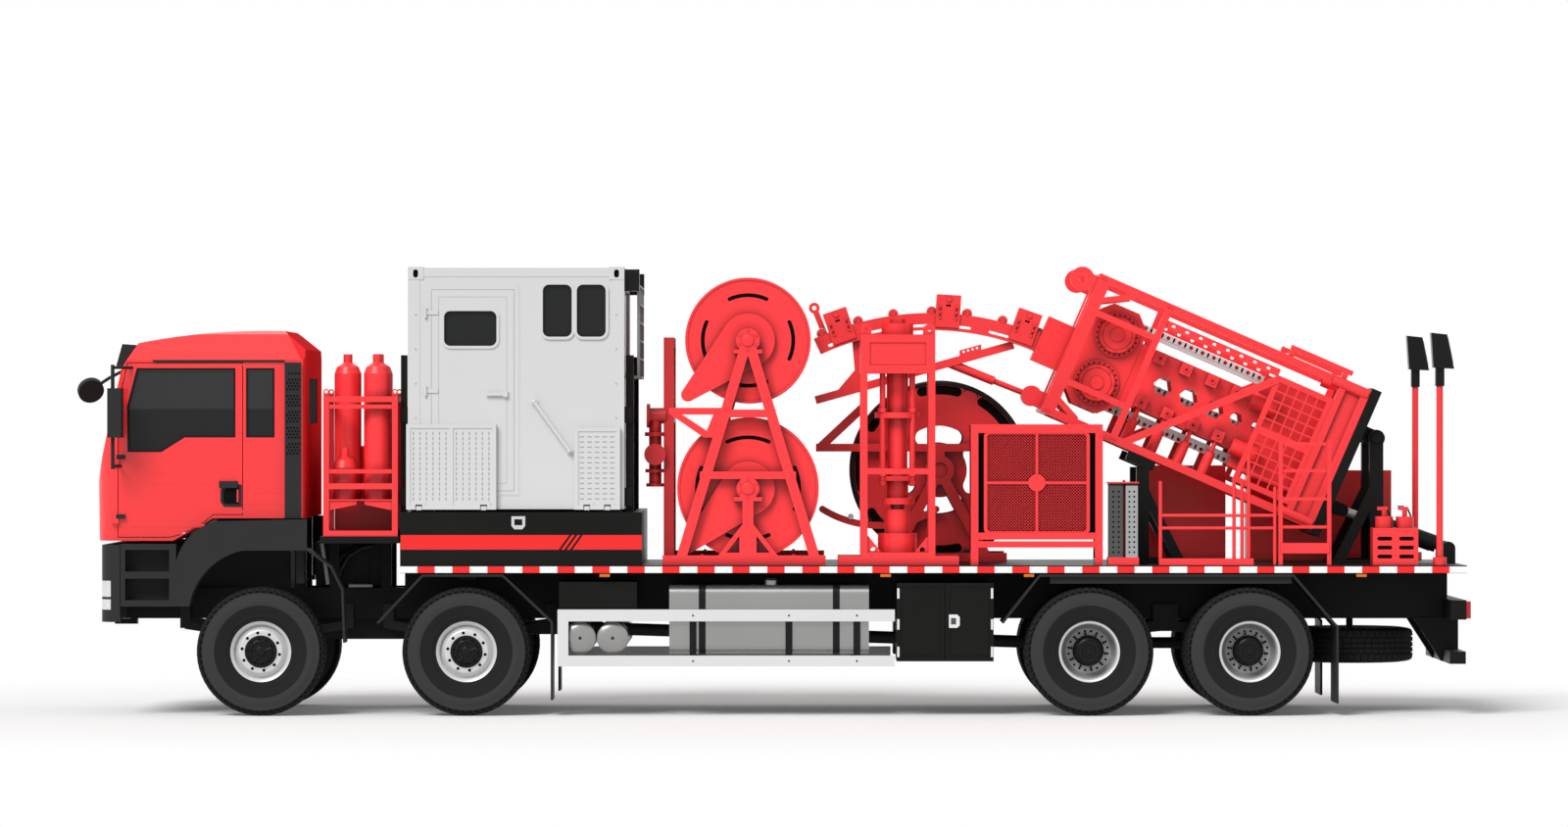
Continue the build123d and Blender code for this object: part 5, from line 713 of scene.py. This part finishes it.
def make_door_details():
    """Window seals, handles and creases on the doors."""
    left, right, low, high = HANDLE
    plate = [
        (left + 30, low), (right, low), (right, high), (left + 50, high), (left, high - 50), (left, low + 40),
    ]
    for hand, name in SIDES:
        shape = Shape()
        add_seal(shape, hand, DOOR_WINDOW)
        shape.use(PLASTIC)
        shape.slab(plate, span(hand, CAB_HALF - 2, CAB_HALF + 8))
        # Recess in the handle's plate, in painted shade
        shape.use(SHADE_BLACK)
        shape.slab(inset(plate, 24), span(hand, CAB_HALF + 4, CAB_HALF + 9))
        shape.use(CAB_RED)
        shape.box((right - 42, right - 28), span(hand, CAB_HALF, CAB_HALF + 12), (low + 40, high - 40))
        for crease in DOOR_CREASES:
            add_crease(shape, hand, *crease)
        shape.piece(f"door_details_{name}", f"cab_door_{name}")


def add_behind_cab(shape):
    """Engine cover, ribbed intake box, struts and bent pipes."""
    shape.use(IRON)
    shape.slab(ENGINE_COVER, (-COVER_HALF, COVER_HALF))
    shape.box(INTAKE_X, (-INTAKE_HALF, INTAKE_HALF), INTAKE_Z)
    for share in (0.2, 0.4, 0.6, 0.8):
        x = INTAKE_X[0] + share * (INTAKE_X[1] - INTAKE_X[0])
        shape.box((x - 8, x + 8), (-RIB_HALF, RIB_HALF), INTAKE_Z)
    shape.use(GREY)
    for hand in HANDS:
        shape.rod((at(1935), hand * 420, 1130), (at(1880), hand * 420, 1490), 18, 12)
        shape.rod((at(2120), hand * 470, 1120), (at(2330), hand * 470, 1120), 14, 12)
    shape.use(HOSE)
    for hand in HANDS:
        for shift in (0, PIPE_SPACING):
            bend = [(station + shift, z) for station, z in PIPE_BEND] + [PIPE_END]
            y = hand * (PIPE_Y + shift)
            for (start, low), (end, high) in zip(bend, bend[1:]):
                shape.rod((at(start), y, low), (at(end), y, high), 24, 12)


def make_cab_details():
    """Quarter windows' seals, panel holes and creases on the cab, and what stands behind it."""
    shape = Shape()
    for hand in HANDS:
        add_seal(shape, hand, QUARTER_WINDOW)
        # The panel's holes, drawn as pins of painted shade
        shape.use(SHADE_BLACK)
        for row in range(PANEL_ROWS):
            if row % 5 == 4:
                continue
            for column in range(PANEL_COLUMNS):
                x = PANEL_X + column * PANEL_PITCH_X + (PANEL_PITCH_X // 2 if row % 2 else 0)
                z = PANEL_Z + row * PANEL_PITCH_Z
                shape.pin(x, z, (hand * 1188, hand * 1190.6), 10, 10)
        shape.use(CAB_RED)
        for crease in SIDE_CREASES:
            add_crease(shape, hand, *crease)
    add_behind_cab(shape)
    shape.piece("cab_details", "chassis")


# Control cabin
CABIN_FACE = 1194
CABIN_DOOR = [(at(2886), 1965), (at(3608), 1965), (at(3608), 3721), (at(2886), 3721)]
SEAM_Y = (-CABIN_FACE - 0.8, -CABIN_FACE + 4)
PANE_SPLIT = (at(3859) + at(4408)) / 2
# Left, right, low and high edges of the door's window and the side window's two panes
CABIN_WINDOWS = (
    (at(2997), at(3455), 3230, 3535),
    (at(3859), PANE_SPLIT - 22, 3310, 3765),
    (PANE_SPLIT + 22, at(4408), 3310, 3765),
)
# Body, left and right edges, height, and whether the slots stand upright in two panels
WALKWAYS = (
    ("walkway_front", at(2669), at(3454), 745, True),
    ("walkway_rear", at(4134), at(4534), 717, False),
)
WALKWAY_Z = 1802
SLOT_Y = (-1243, -1241)
SLOT_MARGIN = 35


def rounded(left, right, low, high, radius, steps=6):
    """Rectangle in X and Z with round corners, counterclockwise."""
    outline = []
    corners = ((right, low, -90), (right, high, 0), (left, high, 90), (left, low, 180))
    for x, z, start in corners:
        inner_x = x - radius if x == right else x + radius
        inner_z = z - radius if z == high else z + radius
        for step in range(steps + 1):
            turn = math.radians(start + 90 * step / steps)
            outline.append((inner_x + radius * math.cos(turn), inner_z + radius * math.sin(turn)))
    return outline


def make_cabin_details():
    """Door seams, window seals, and bolts on the frames."""
    shape = Shape()
    shape.use(SEAM)
    shape.border(inset(CABIN_DOOR, -3), 6, SEAM_Y)
    shape.border(inset(CABIN_DOOR, 62), 4, SEAM_Y)
    shape.use(SATIN)
    for window in CABIN_WINDOWS:
        shape.border(rounded(*window, 55), 10, (-1200, -1180))
    shape.use(SEAM)
    for x in (at(2750), at(4500)):
        for z in range(2000, 3800, 300):
            shape.pin(x, z, (-CABIN_FACE + 2, -CABIN_FACE - 2), 8, 12)
    shape.piece("cabin_details", "cabin")


def add_slots(shape, x, z, columns, rows, half_x, half_z):
    """Slots spread evenly between the low and high values of X and Z."""
    for column in range(columns):
        a = x[0] + (x[1] - x[0]) * (column + 0.5) / columns
        for row in range(rows):
            b = z[0] + (z[1] - z[0]) * (row + 0.5) / rows
            shape.box((a - half_x, a + half_x), SLOT_Y, (b - half_z, b + half_z))


def make_walkway_slots():
    """Pressed slots in the folded walkways' panels, drawn grey as painted shade."""
    for name, left, right, height, upright in WALKWAYS:
        shape = Shape()
        # Grey boxes of painted shade where the white panels are slotted
        shape.use(GREY)
        z = (WALKWAY_Z + 70, WALKWAY_Z + height - 60)
        start, end = left + SLOT_MARGIN, right - SLOT_MARGIN
        if upright:
            middle = (left + right) / 2
            for x in ((start, middle - 17), (middle + 17, end)):
                add_slots(shape, x, z, columns=6, rows=14, half_x=5, half_z=14)
        else:
            add_slots(shape, (start, end), z, columns=5, rows=13, half_x=20, half_z=5)
        shape.piece(f"{name}_slots", name)


# Reels, cooler and stairs
HOSE_REEL_X = at(5649)
UPPER_REEL_Z, LOWER_REEL_Z = 3279, 1985
HOSE_REELS = (("upper_reel", UPPER_REEL_Z), ("lower_reel", LOWER_REEL_Z))
HOSE_BAYS = ((-1014, -366), (-324, 324), (366, 1014))
LARGE_REEL_X, LARGE_REEL_Z = at(7354), 2135
# Body, X, Z, drum radius, hose radius, and the bays between the flanges
WINDINGS = (
    ("upper_reel", HOSE_REEL_X, UPPER_REEL_Z, 429, 22, HOSE_BAYS),
    ("lower_reel", HOSE_REEL_X, LOWER_REEL_Z, 484, 22, HOSE_BAYS),
    ("large_reel", LARGE_REEL_X, LARGE_REEL_Z, 690, 24, ((353, 987),)),
)
# Y of the large reel's outer faces with the way out, and the black ring on each: height and radius
LARGE_REEL_FACES = ((308, -1), (1032, 1))
OUTER_RING = ((-1, 757), (7, 760), (10, 768), (10, 790), (6, 797), (-1, 799))
COOLER_MIDDLE = (at(8170.5), 2035)
COOLER_HALF = (430, 421)
MESH_PITCH = 26
MESH_WIDTH = 3.4
STAIR_TREADS = ((at(8800), at(8920)), (at(8945), at(9050)))
STAIR_POST_X = at(8932)
# Distance out and radius of the cap on a hose reel's bearing
BEARING_CAP = ((1188, 56), (1200, 52), (1204, 40), (1204, 0))


def make_windings():
    """Hose wound on each reel, lay by lay across the drum, and the rings on the large reel's faces."""
    for body, x, z, drum, hose, bays in WINDINGS:
        shape = Shape()
        shape.use(HOSE)
        section = circle(9, hose)
        for low, high in bays:
            turns = int((high - low) / (2 * hose + 1))
            for turn in range(turns):
                y = low + (high - low) * (turn + 0.5) / turns
                ring = [(y + a, drum + hose + b) for a, b in section + section[:1]]
                shape.lathe((x, 0, z), (0, 1, 0), ring, 56)
        if body == "large_reel":
            for face, way in LARGE_REEL_FACES:
                shape.lathe((x, 0, z), (0, 1, 0), moved(OUTER_RING, face, way), 96)
        shape.piece(f"{body}_windings", body)


def make_cooler_mesh():
    """Red mesh in the cooler's guard, of falling and rising strands."""
    shape = Shape()
    shape.use(RED)
    half_x, half_z = COOLER_HALF
    steps = int((half_x + half_z) / MESH_PITCH)
    lean = Vector((1, 1)).normalized() * (MESH_WIDTH / 2)
    for way, y in ((-1, (-1197, -1193)), (1, (-1196, -1192))):
        across = Vector((-way * lean.x, lean.y))
        for step in range(-steps, steps + 1):
            shift = step * MESH_PITCH
            low = max(-half_x, -way * shift - half_z)
            high = min(half_x, -way * shift + half_z)
            if high - low < MESH_WIDTH:
                continue
            start, end = [Vector((x, way * x + shift)) for x in (low, high)]
            corners = (start - across, end - across, end + across, start + across)
            shape.slab([(COOLER_MIDDLE[0] + c.x, COOLER_MIDDLE[1] + c.y) for c in corners], y)
    shape.piece("cooler_mesh", "chassis")


def make_stair_details():
    """Holes of the folded stair treads, the red post between them, and their top plates."""
    shape = Shape()
    # The treads' holes, drawn as pins of painted shade
    shape.use(SHADE_BLACK)
    for left, right in STAIR_TREADS:
        for column in (0.3, 0.7):
            x = left + (right - left) * column
            for row in range(13):
                shape.pin(x, 1430 + row * 44, (-1234, -1236), 9, 12)
    shape.use(RED)
    shape.rod((STAIR_POST_X, -1180, 1385), (STAIR_POST_X, -1180, 2060), 12)
    shape.box((at(8790), at(9060)), (-1236, -1000), (2030, 2042))
    shape.use(SATIN)
    for left, right in STAIR_TREADS:
        shape.box((left - 4, right + 4), (-1238, -1000), (2012, 2030))
    shape.piece("stair_details", "chassis")


def make_reel_bolts():
    """Bolts on the hose reels' hubs, and on the stand's bearings and feet."""
    for body, z in HOSE_REELS:
        shape = Shape()
        shape.use(RED)
        for hand in HANDS:
            for x, up in circle(12, 205, 0.2):
                shape.pin(HOSE_REEL_X + x, z + up, (hand * 1055, hand * 1064), 11, 6)
        shape.piece(f"{body}_bolts", body)
    shape = Shape()
    shape.use(RED)
    for hand in HANDS:
        for _, z in HOSE_REELS:
            for x, up in circle(6, 84, 0.5):
                shape.pin(HOSE_REEL_X + x, z + up, (hand * 1188, hand * 1198), 9, 6)
            shape.lathe((HOSE_REEL_X, 0, z), (0, hand, 0), BEARING_CAP, 32)
        for x in (-540, -400, 400, 540):
            foot = HOSE_REEL_X + x
            shape.rod((foot, hand * 1145, 1399), (foot, hand * 1145, 1412), 14, 6)
    shape.piece("stand_bolts", "chassis")


# Injector and gooseneck
MOTOR_U = -2240
MOTOR_FACE, COVER_FACE = 385, 435
CHAIN_U = (MOTOR_U, -480)
CHAIN_V = 230
CHAIN_EDGE = 165
CHAIN_LINKS, LINK_PITCH = 17, 110
LINK_OUTLINE = ((-58, -26), (58, -26), (66, 0), (58, 26), (-58, 26), (-66, 0))
LINK_Y, LINK_THICK = (-96, 90), 6
# The gooseneck's circle: centre, radius, and the angles from upright at which it starts and ends
ARCH_X, ARCH_Z, ARCH_R = 1497, 1054, 2480
ARCH_START, ARCH_END = -24.87, 24.0
# Shares of the gooseneck's length at which its rollers and clamps sit
ROLLERS = (0.04, 0.2, 0.35, 0.51, 0.66, 0.81, 0.97)
CLAMPS = (0.12, 0.58, 0.91)
ROLLER_RIM = ((-88, 41), (-70, 46), (-50, 41), (50, 41), (70, 46), (88, 41))


def add_pin(shape, u, v, y, radius, sides):
    """Bar along Y on the injector, between two values of Y."""
    shape.rod(spot(u, v, y[0]), spot(u, v, y[1]), radius, sides)


def add_groove(shape, hand, v, face, inner, outer):
    """Thin dark ring on a motor's face, painted shade for a groove."""
    profile = ((face - 1, inner), (face + 1, inner), (face + 1, outer), (face - 1, outer))
    shape.lathe(spot(MOTOR_U, v, 0), (0, hand, 0), profile, 48)


def make_injector_details():
    """Holes, grooves, plugs and bolts of the motors, and bolts on the guards and the frame."""
    shape = Shape()
    for hand in HANDS:
        for v in (-CHAIN_V, CHAIN_V):
            # The motors' ring of holes, drawn as pins of painted shade
            shape.use(SHADE_BLACK)
            for x, up in circle(24, 180):
                add_pin(shape, MOTOR_U + x, v + up, (hand * (MOTOR_FACE - 1), hand * (MOTOR_FACE + 1)), 8, 10)
            # Grooves on the covers and motors, in the darker red of painted shade
            shape.use(SHADED_RED)
            add_groove(shape, hand, v, COVER_FACE, 128, 133)
            add_groove(shape, hand, v, MOTOR_FACE, 162, 166)
            shape.use(RED)
            add_pin(shape, MOTOR_U, v, (hand * 432, hand * 442), 24, 4)
            for x, up in circle(8, 146, 0.3):
                add_pin(shape, MOTOR_U + x, v + up, (hand * 430, hand * 444), 11, 6)
        # Discs on the guards, in the darker red of painted shade
        shape.use(SHADED_RED)
        for u in (-1810, -1560, -1310, -1070):
            for v in (-235, 190):
                add_pin(shape, u, v, (hand * 484, hand * 487), 16, 16)
        shape.use(RED)
        for u in (-2550, -1917, -242, -35):
            for v in (-630, 630):
                for shift in (-16, 16):
                    add_pin(shape, u + shift, v, (hand * 638, hand * 648), 8, 6)
    shape.piece("injector_bolts", "injector")


def make_chain_plates():
    """Side plates and pins along the injector's four chain runs."""
    shape = Shape()
    for v in (-CHAIN_V, CHAIN_V):
        for edge in (-CHAIN_EDGE, CHAIN_EDGE):
            for link in range(CHAIN_LINKS):
                u = sum(CHAIN_U) / 2 + (link - CHAIN_LINKS // 2) * LINK_PITCH
                shape.use(STEEL)
                for y in LINK_Y:
                    ends = (y, y + LINK_THICK)
                    points = [spot(u + a, v + edge + b, end) for end in ends for a, b in LINK_OUTLINE]
                    shape.add(points, prism_faces(len(LINK_OUTLINE)))
                # The chain's pins, in the darker red of painted shade
                shape.use(SHADED_RED)
                add_pin(shape, u, v + edge, (-99, 99), 17, 16)
    shape.piece("chain_plates", "injector")


def arch(share, radius):
    """X and Z on the gooseneck's circle at a share of its length."""
    turn = math.radians(ARCH_START + share * (ARCH_END - ARCH_START))
    return ARCH_X + radius * math.sin(turn), ARCH_Z + radius * math.cos(turn)


def make_gooseneck_details():
    """Rollers' rims and pins, and the clamps' holes, rods and nuts along the gooseneck."""
    shape = Shape()
    for share in ROLLERS:
        x, z = arch(share, ARCH_R + 16)
        shape.use(STEEL)
        shape.lathe((x, 0, z), (0, 1, 0), ROLLER_RIM, 32)
        shape.use(RED)
        shape.pin(x, z - 8, (-114, 114), 15, 12)
    for share in CLAMPS:
        for hand in HANDS:
            # The clamps' holes, in painted shade
            shape.use(SHADE_BLACK)
            for shift in (-0.006, 0.004):
                x, z = arch(share + shift, ARCH_R + 70)
                shape.pin(x, z, (hand * 122, hand * 123.6), 11, 12)
            for shift in (-0.034, 0.034):
                # Tie rods, in the darker red of painted shade
                shape.use(SHADED_RED)
                (x, z), (end_x, end_z) = [arch(share + shift, ARCH_R + level) for level in (-40, 60)]
                shape.rod((x, hand * 127, z), (end_x, hand * 127, end_z), 7, 10)
                shape.use(RED)
                for level in (-40, 10, 60):
                    x, z = arch(share + shift, ARCH_R + level)
                    shape.pin(x, z, (hand * 122, hand * 134), 12, 6)
    shape.piece("gooseneck_details", "injector")


# Small pieces on the deck
EXTINGUISHER_X = (at(11210), at(11390))
MAST_X = at(11688)
# Ends of a mast lamp's sloping glass in X and Z
LAMP_FACE = ((MAST_X + 110, 3080), (MAST_X + 66, 3300))
# X and Y of the gas bottles, the levels of their straps, and a strap's height and radius
BOTTLES = ((at(2134), -800), (at(2406), -1030), (at(2406), -740))
STRAP_Z = (2135, 2700)
STRAP = ((-9, 118), (-9, 121), (9, 121), (9, 118))
ARM_BOLTS = ((at(6560), 1720), (at(6690), 1690))
MARKER_X = (at(4400), at(6850), at(8100), at(11000))


def make_deck_details():
    """Extinguisher levers and nozzles, mast lamps' glass, bottle straps and arm bolts."""
    shape = Shape()
    shape.use(SATIN)
    for x in EXTINGUISHER_X:
        shape.box((x - 62, x - 8), (-1106, -1078), (1826, 1834))
        shape.rod((x + 26, -1092, 1810), (x + 70, -1092, 1700), 8, 10)
    shape.use(LAMP)
    for hand in HANDS:
        ends = span(hand, 1120, 1240)
        shape.add([(x + out, y, z) for out in (0, 6) for y in ends for x, z in LAMP_FACE], BOX_FACES)
    shape.use(STEEL)
    for x, y in BOTTLES:
        for z in STRAP_Z:
            shape.lathe((x, y, z), (0, 0, 1), STRAP, 40)
    for x, z in ARM_BOLTS:
        shape.pin(x, z, (208, 200), 26, 20)
    shape.piece("deck_details", "chassis")


def make_side_markers():
    """Amber markers below the deck's edges."""
    shape = Shape()
    shape.use(AMBER)
    for hand in HANDS:
        for x in MARKER_X:
            shape.box((x - 45, x + 45), span(hand, 1246, 1253), (1215, 1240))
    shape.piece("side_markers", "chassis")


# Finishes of the model's own nodes, and the places where a finish changes
NEAR = 2
REEL_SLOT_Y, DRUM_HALF, DRUM_SHARE = 1040, 1012, 0.79
UPPER_SLOT_R, LOWER_SLOT_R = 550, 620
LARGE_SLOT_Y, LARGE_DRUM_Y = 323, (354, 986)
LARGE_SHAFT_R, LARGE_RING_R = 400, 770
BASE_FACE = 1240.5
CABIN_FRONT, CABIN_BACK = at(2681), at(4570) + 1
BACK_LAMP_Y, BACK_LAMP_Z = 955, 3705
CASTING_Y, CASTING_Z = 1173, 3800
CAB_BACK, BACK_WINDOW_X = at(1600), at(1640)
BOX_FRONT_Y, BOX_FRONT_Z = -1211, 1640
FAN_Y, FAN_Z = (-1141, -789), (1559, 2521)
STRAPS_X, STRAP_HALF = (at(5250), at(6420)), 31
GUARD_FRONT, GUARD_RAIL_Y, GUARD_GAP_Z = at(3989) + 95, 1214.5, (529, 826)
TREADS_LOW, MAST_HEAD_Z = 1386, 2881


def paint(node, base, *rules):
    """Give a node its finish, and others to the faces whose middle passes a rule's test."""
    mesh = NODES[node].data
    mesh.materials.clear()
    mesh.materials.append(base)
    for finish, _ in rules:
        mesh.materials.append(finish)
    for face in mesh.polygons:
        middle = face.center * 1000
        face.material_index = next((i for i, (_, test) in enumerate(rules, 1) if test(middle)), 0)


def paint_all(finish, *nodes):
    """Give several nodes one finish."""
    for node in nodes:
        paint(node, finish)


def between(value, limits):
    """Whether a value lies between two limits."""
    return limits[0] < value < limits[1]


def paint_reel(node, z, slot_radius):
    """Hose reel in red with black slots and drum; the slots' black is painted shade."""
    def radius(p):
        return math.hypot(p.x - HOSE_REEL_X, p.z - z)

    def slot_floor(p):
        return abs(abs(p.y) - REEL_SLOT_Y) < NEAR and radius(p) < slot_radius

    def drum(p):
        return abs(p.y) < DRUM_HALF and radius(p) < DRUM_SHARE * slot_radius

    paint(node, RED, (SHADE_BLACK, slot_floor), (HOSE, drum))


def paint_large_reel():
    """Large reel in red with its black outer ring, slots and drum; the slots' black is painted shade."""
    def radius(p):
        return math.hypot(p.x - LARGE_REEL_X, p.z - LARGE_REEL_Z)

    def slot_floor(p):
        return abs(p.y - LARGE_SLOT_Y) < NEAR

    def drum(p):
        return between(p.y, LARGE_DRUM_Y) and radius(p) > LARGE_SHAFT_R

    def ring(p):
        return radius(p) > LARGE_RING_R

    paint("large_reel", RED, (SHADE_BLACK, slot_floor), (HOSE, drum), (HOSE, ring))


def paint_truck():
    """Chassis, running gear, cab and side gear."""
    def strap(p):
        return any(abs(p.x - x) < STRAP_HALF for x in STRAPS_X)

    def guard_bracket(p):
        return p.x > GUARD_FRONT and (abs(p.y) < GUARD_RAIL_Y or between(p.z, GUARD_GAP_Z))

    def cab_back(p):
        return p.x > CAB_BACK and abs(p.y) < CAB_HALF - 5

    paint_all(BLACK, "frame", "deck", "toolboxes")
    paint_all(IRON, "axles", "powertrain")
    paint_all(PLASTIC, "mudguards", "cab_trim", "bumper")
    paint_all(SEAT, "cab_interior")
    paint_all(CAB_GLASS, "cab_door_glass_left", "cab_door_glass_right")
    # The cab's back window is a dark pane of painted shade
    paint("cab_glass", CAB_GLASS, (SHADE_BLACK, lambda p: p.x > BACK_WINDOW_X))
    paint("cab_shell", CAB_RED, (BACK_RED, cab_back))
    paint("tanks", ALUMINIUM, (SATIN, strap))
    paint("side_guards", RAIL, (SATIN, guard_bracket))
    paint("lamps", LAMP, (LENS, lambda p: p.x > 0))
    for _, name in SIDES:
        paint(f"cab_door_{name}", CAB_RED, (PLASTIC, lambda p: abs(p.y) > CAB_HALF + 6))
        paint_all(RUBBER, *[f"wheel_{number}_{name}" for number in AXLES])
        paint_all(IRON, *[f"knuckle_{number}_{name}" for number in STEERED])
    paint_all(RUBBER, "spare_wheel")


def paint_cabin():
    """Control cabin and its base."""
    def back_lamp(p):
        return p.x > CABIN_BACK and p.z > BACK_LAMP_Z and abs(p.y) > BACK_LAMP_Y

    def casting(p):
        return p.x < CABIN_FRONT - NEAR or p.x > CABIN_BACK + NEAR

    def casting_hole(p):
        return p.z > CASTING_Z and abs(abs(p.y) - CASTING_Y) < NEAR

    paint("cabin_base", BLACK, (SILVER, lambda p: abs(p.y) > BASE_FACE))
    paint("cabin_fittings", SEAT, (SATIN, back_lamp), (GREY, lambda p: p.x > CABIN_BACK))
    # Holes in the shell's castings are painted shade
    paint("cabin_shell", WHITE, (BLACK, casting), (SHADE_BLACK, casting_hole))
    paint_all(GLASS, "cabin_glass")
    paint_all(WHITE, "cabin_door", "walkway_front", "walkway_rear")


def paint_equipment():
    """Reels, injector and what else stands on the deck."""
    def box_front(p):
        return abs(p.y - BOX_FRONT_Y) < NEAR and p.z < BOX_FRONT_Z

    def fan_room(p):
        return between(p.y, FAN_Y) and between(p.z, FAN_Z)

    paint_all(BLACK, "injector_supports", "tilt_cradle", "tilt_barrels")
    paint_all(RED, "gas_bottles", "equipment_frames", "equipment_cases", "reel_stand", "pressure_stack")
    paint_all(RED, "handrails", "injector_frame", "injector_drive", "gooseneck")
    paint_all(STEEL, "injector_chains", "tilt_rods")
    # The extinguishers' box front and the cooler's fan room are painted shade
    paint("extinguishers", RED, (SHADE_BLACK, box_front))
    paint("cooler", RED, (SHADE_BLACK, fan_room))
    paint("stair_pack", DARK_GREY, (RED, lambda p: p.z < TREADS_LOW), (GREY, lambda p: p.x > STAIR_POST_X))
    paint("light_masts", RED, (SATIN, lambda p: p.z > MAST_HEAD_Z))
    paint_reel("upper_reel", UPPER_REEL_Z, UPPER_SLOT_R)
    paint_reel("lower_reel", LOWER_REEL_Z, LOWER_SLOT_R)
    paint_large_reel()


make_camera()
make_world()
make_sun()
make_floor()
paint_truck()
paint_cabin()
paint_equipment()
make_wheels()
make_tape()
make_stripe()
make_side_gear()
make_door_details()
make_cab_details()
make_cabin_details()
make_walkway_slots()
make_windings()
make_cooler_mesh()
make_stair_details()
make_reel_bolts()
make_injector_details()
make_chain_plates()
make_gooseneck_details()
make_deck_details()
make_side_markers()

bpy.context.scene.view_settings.view_transform = "Standard"
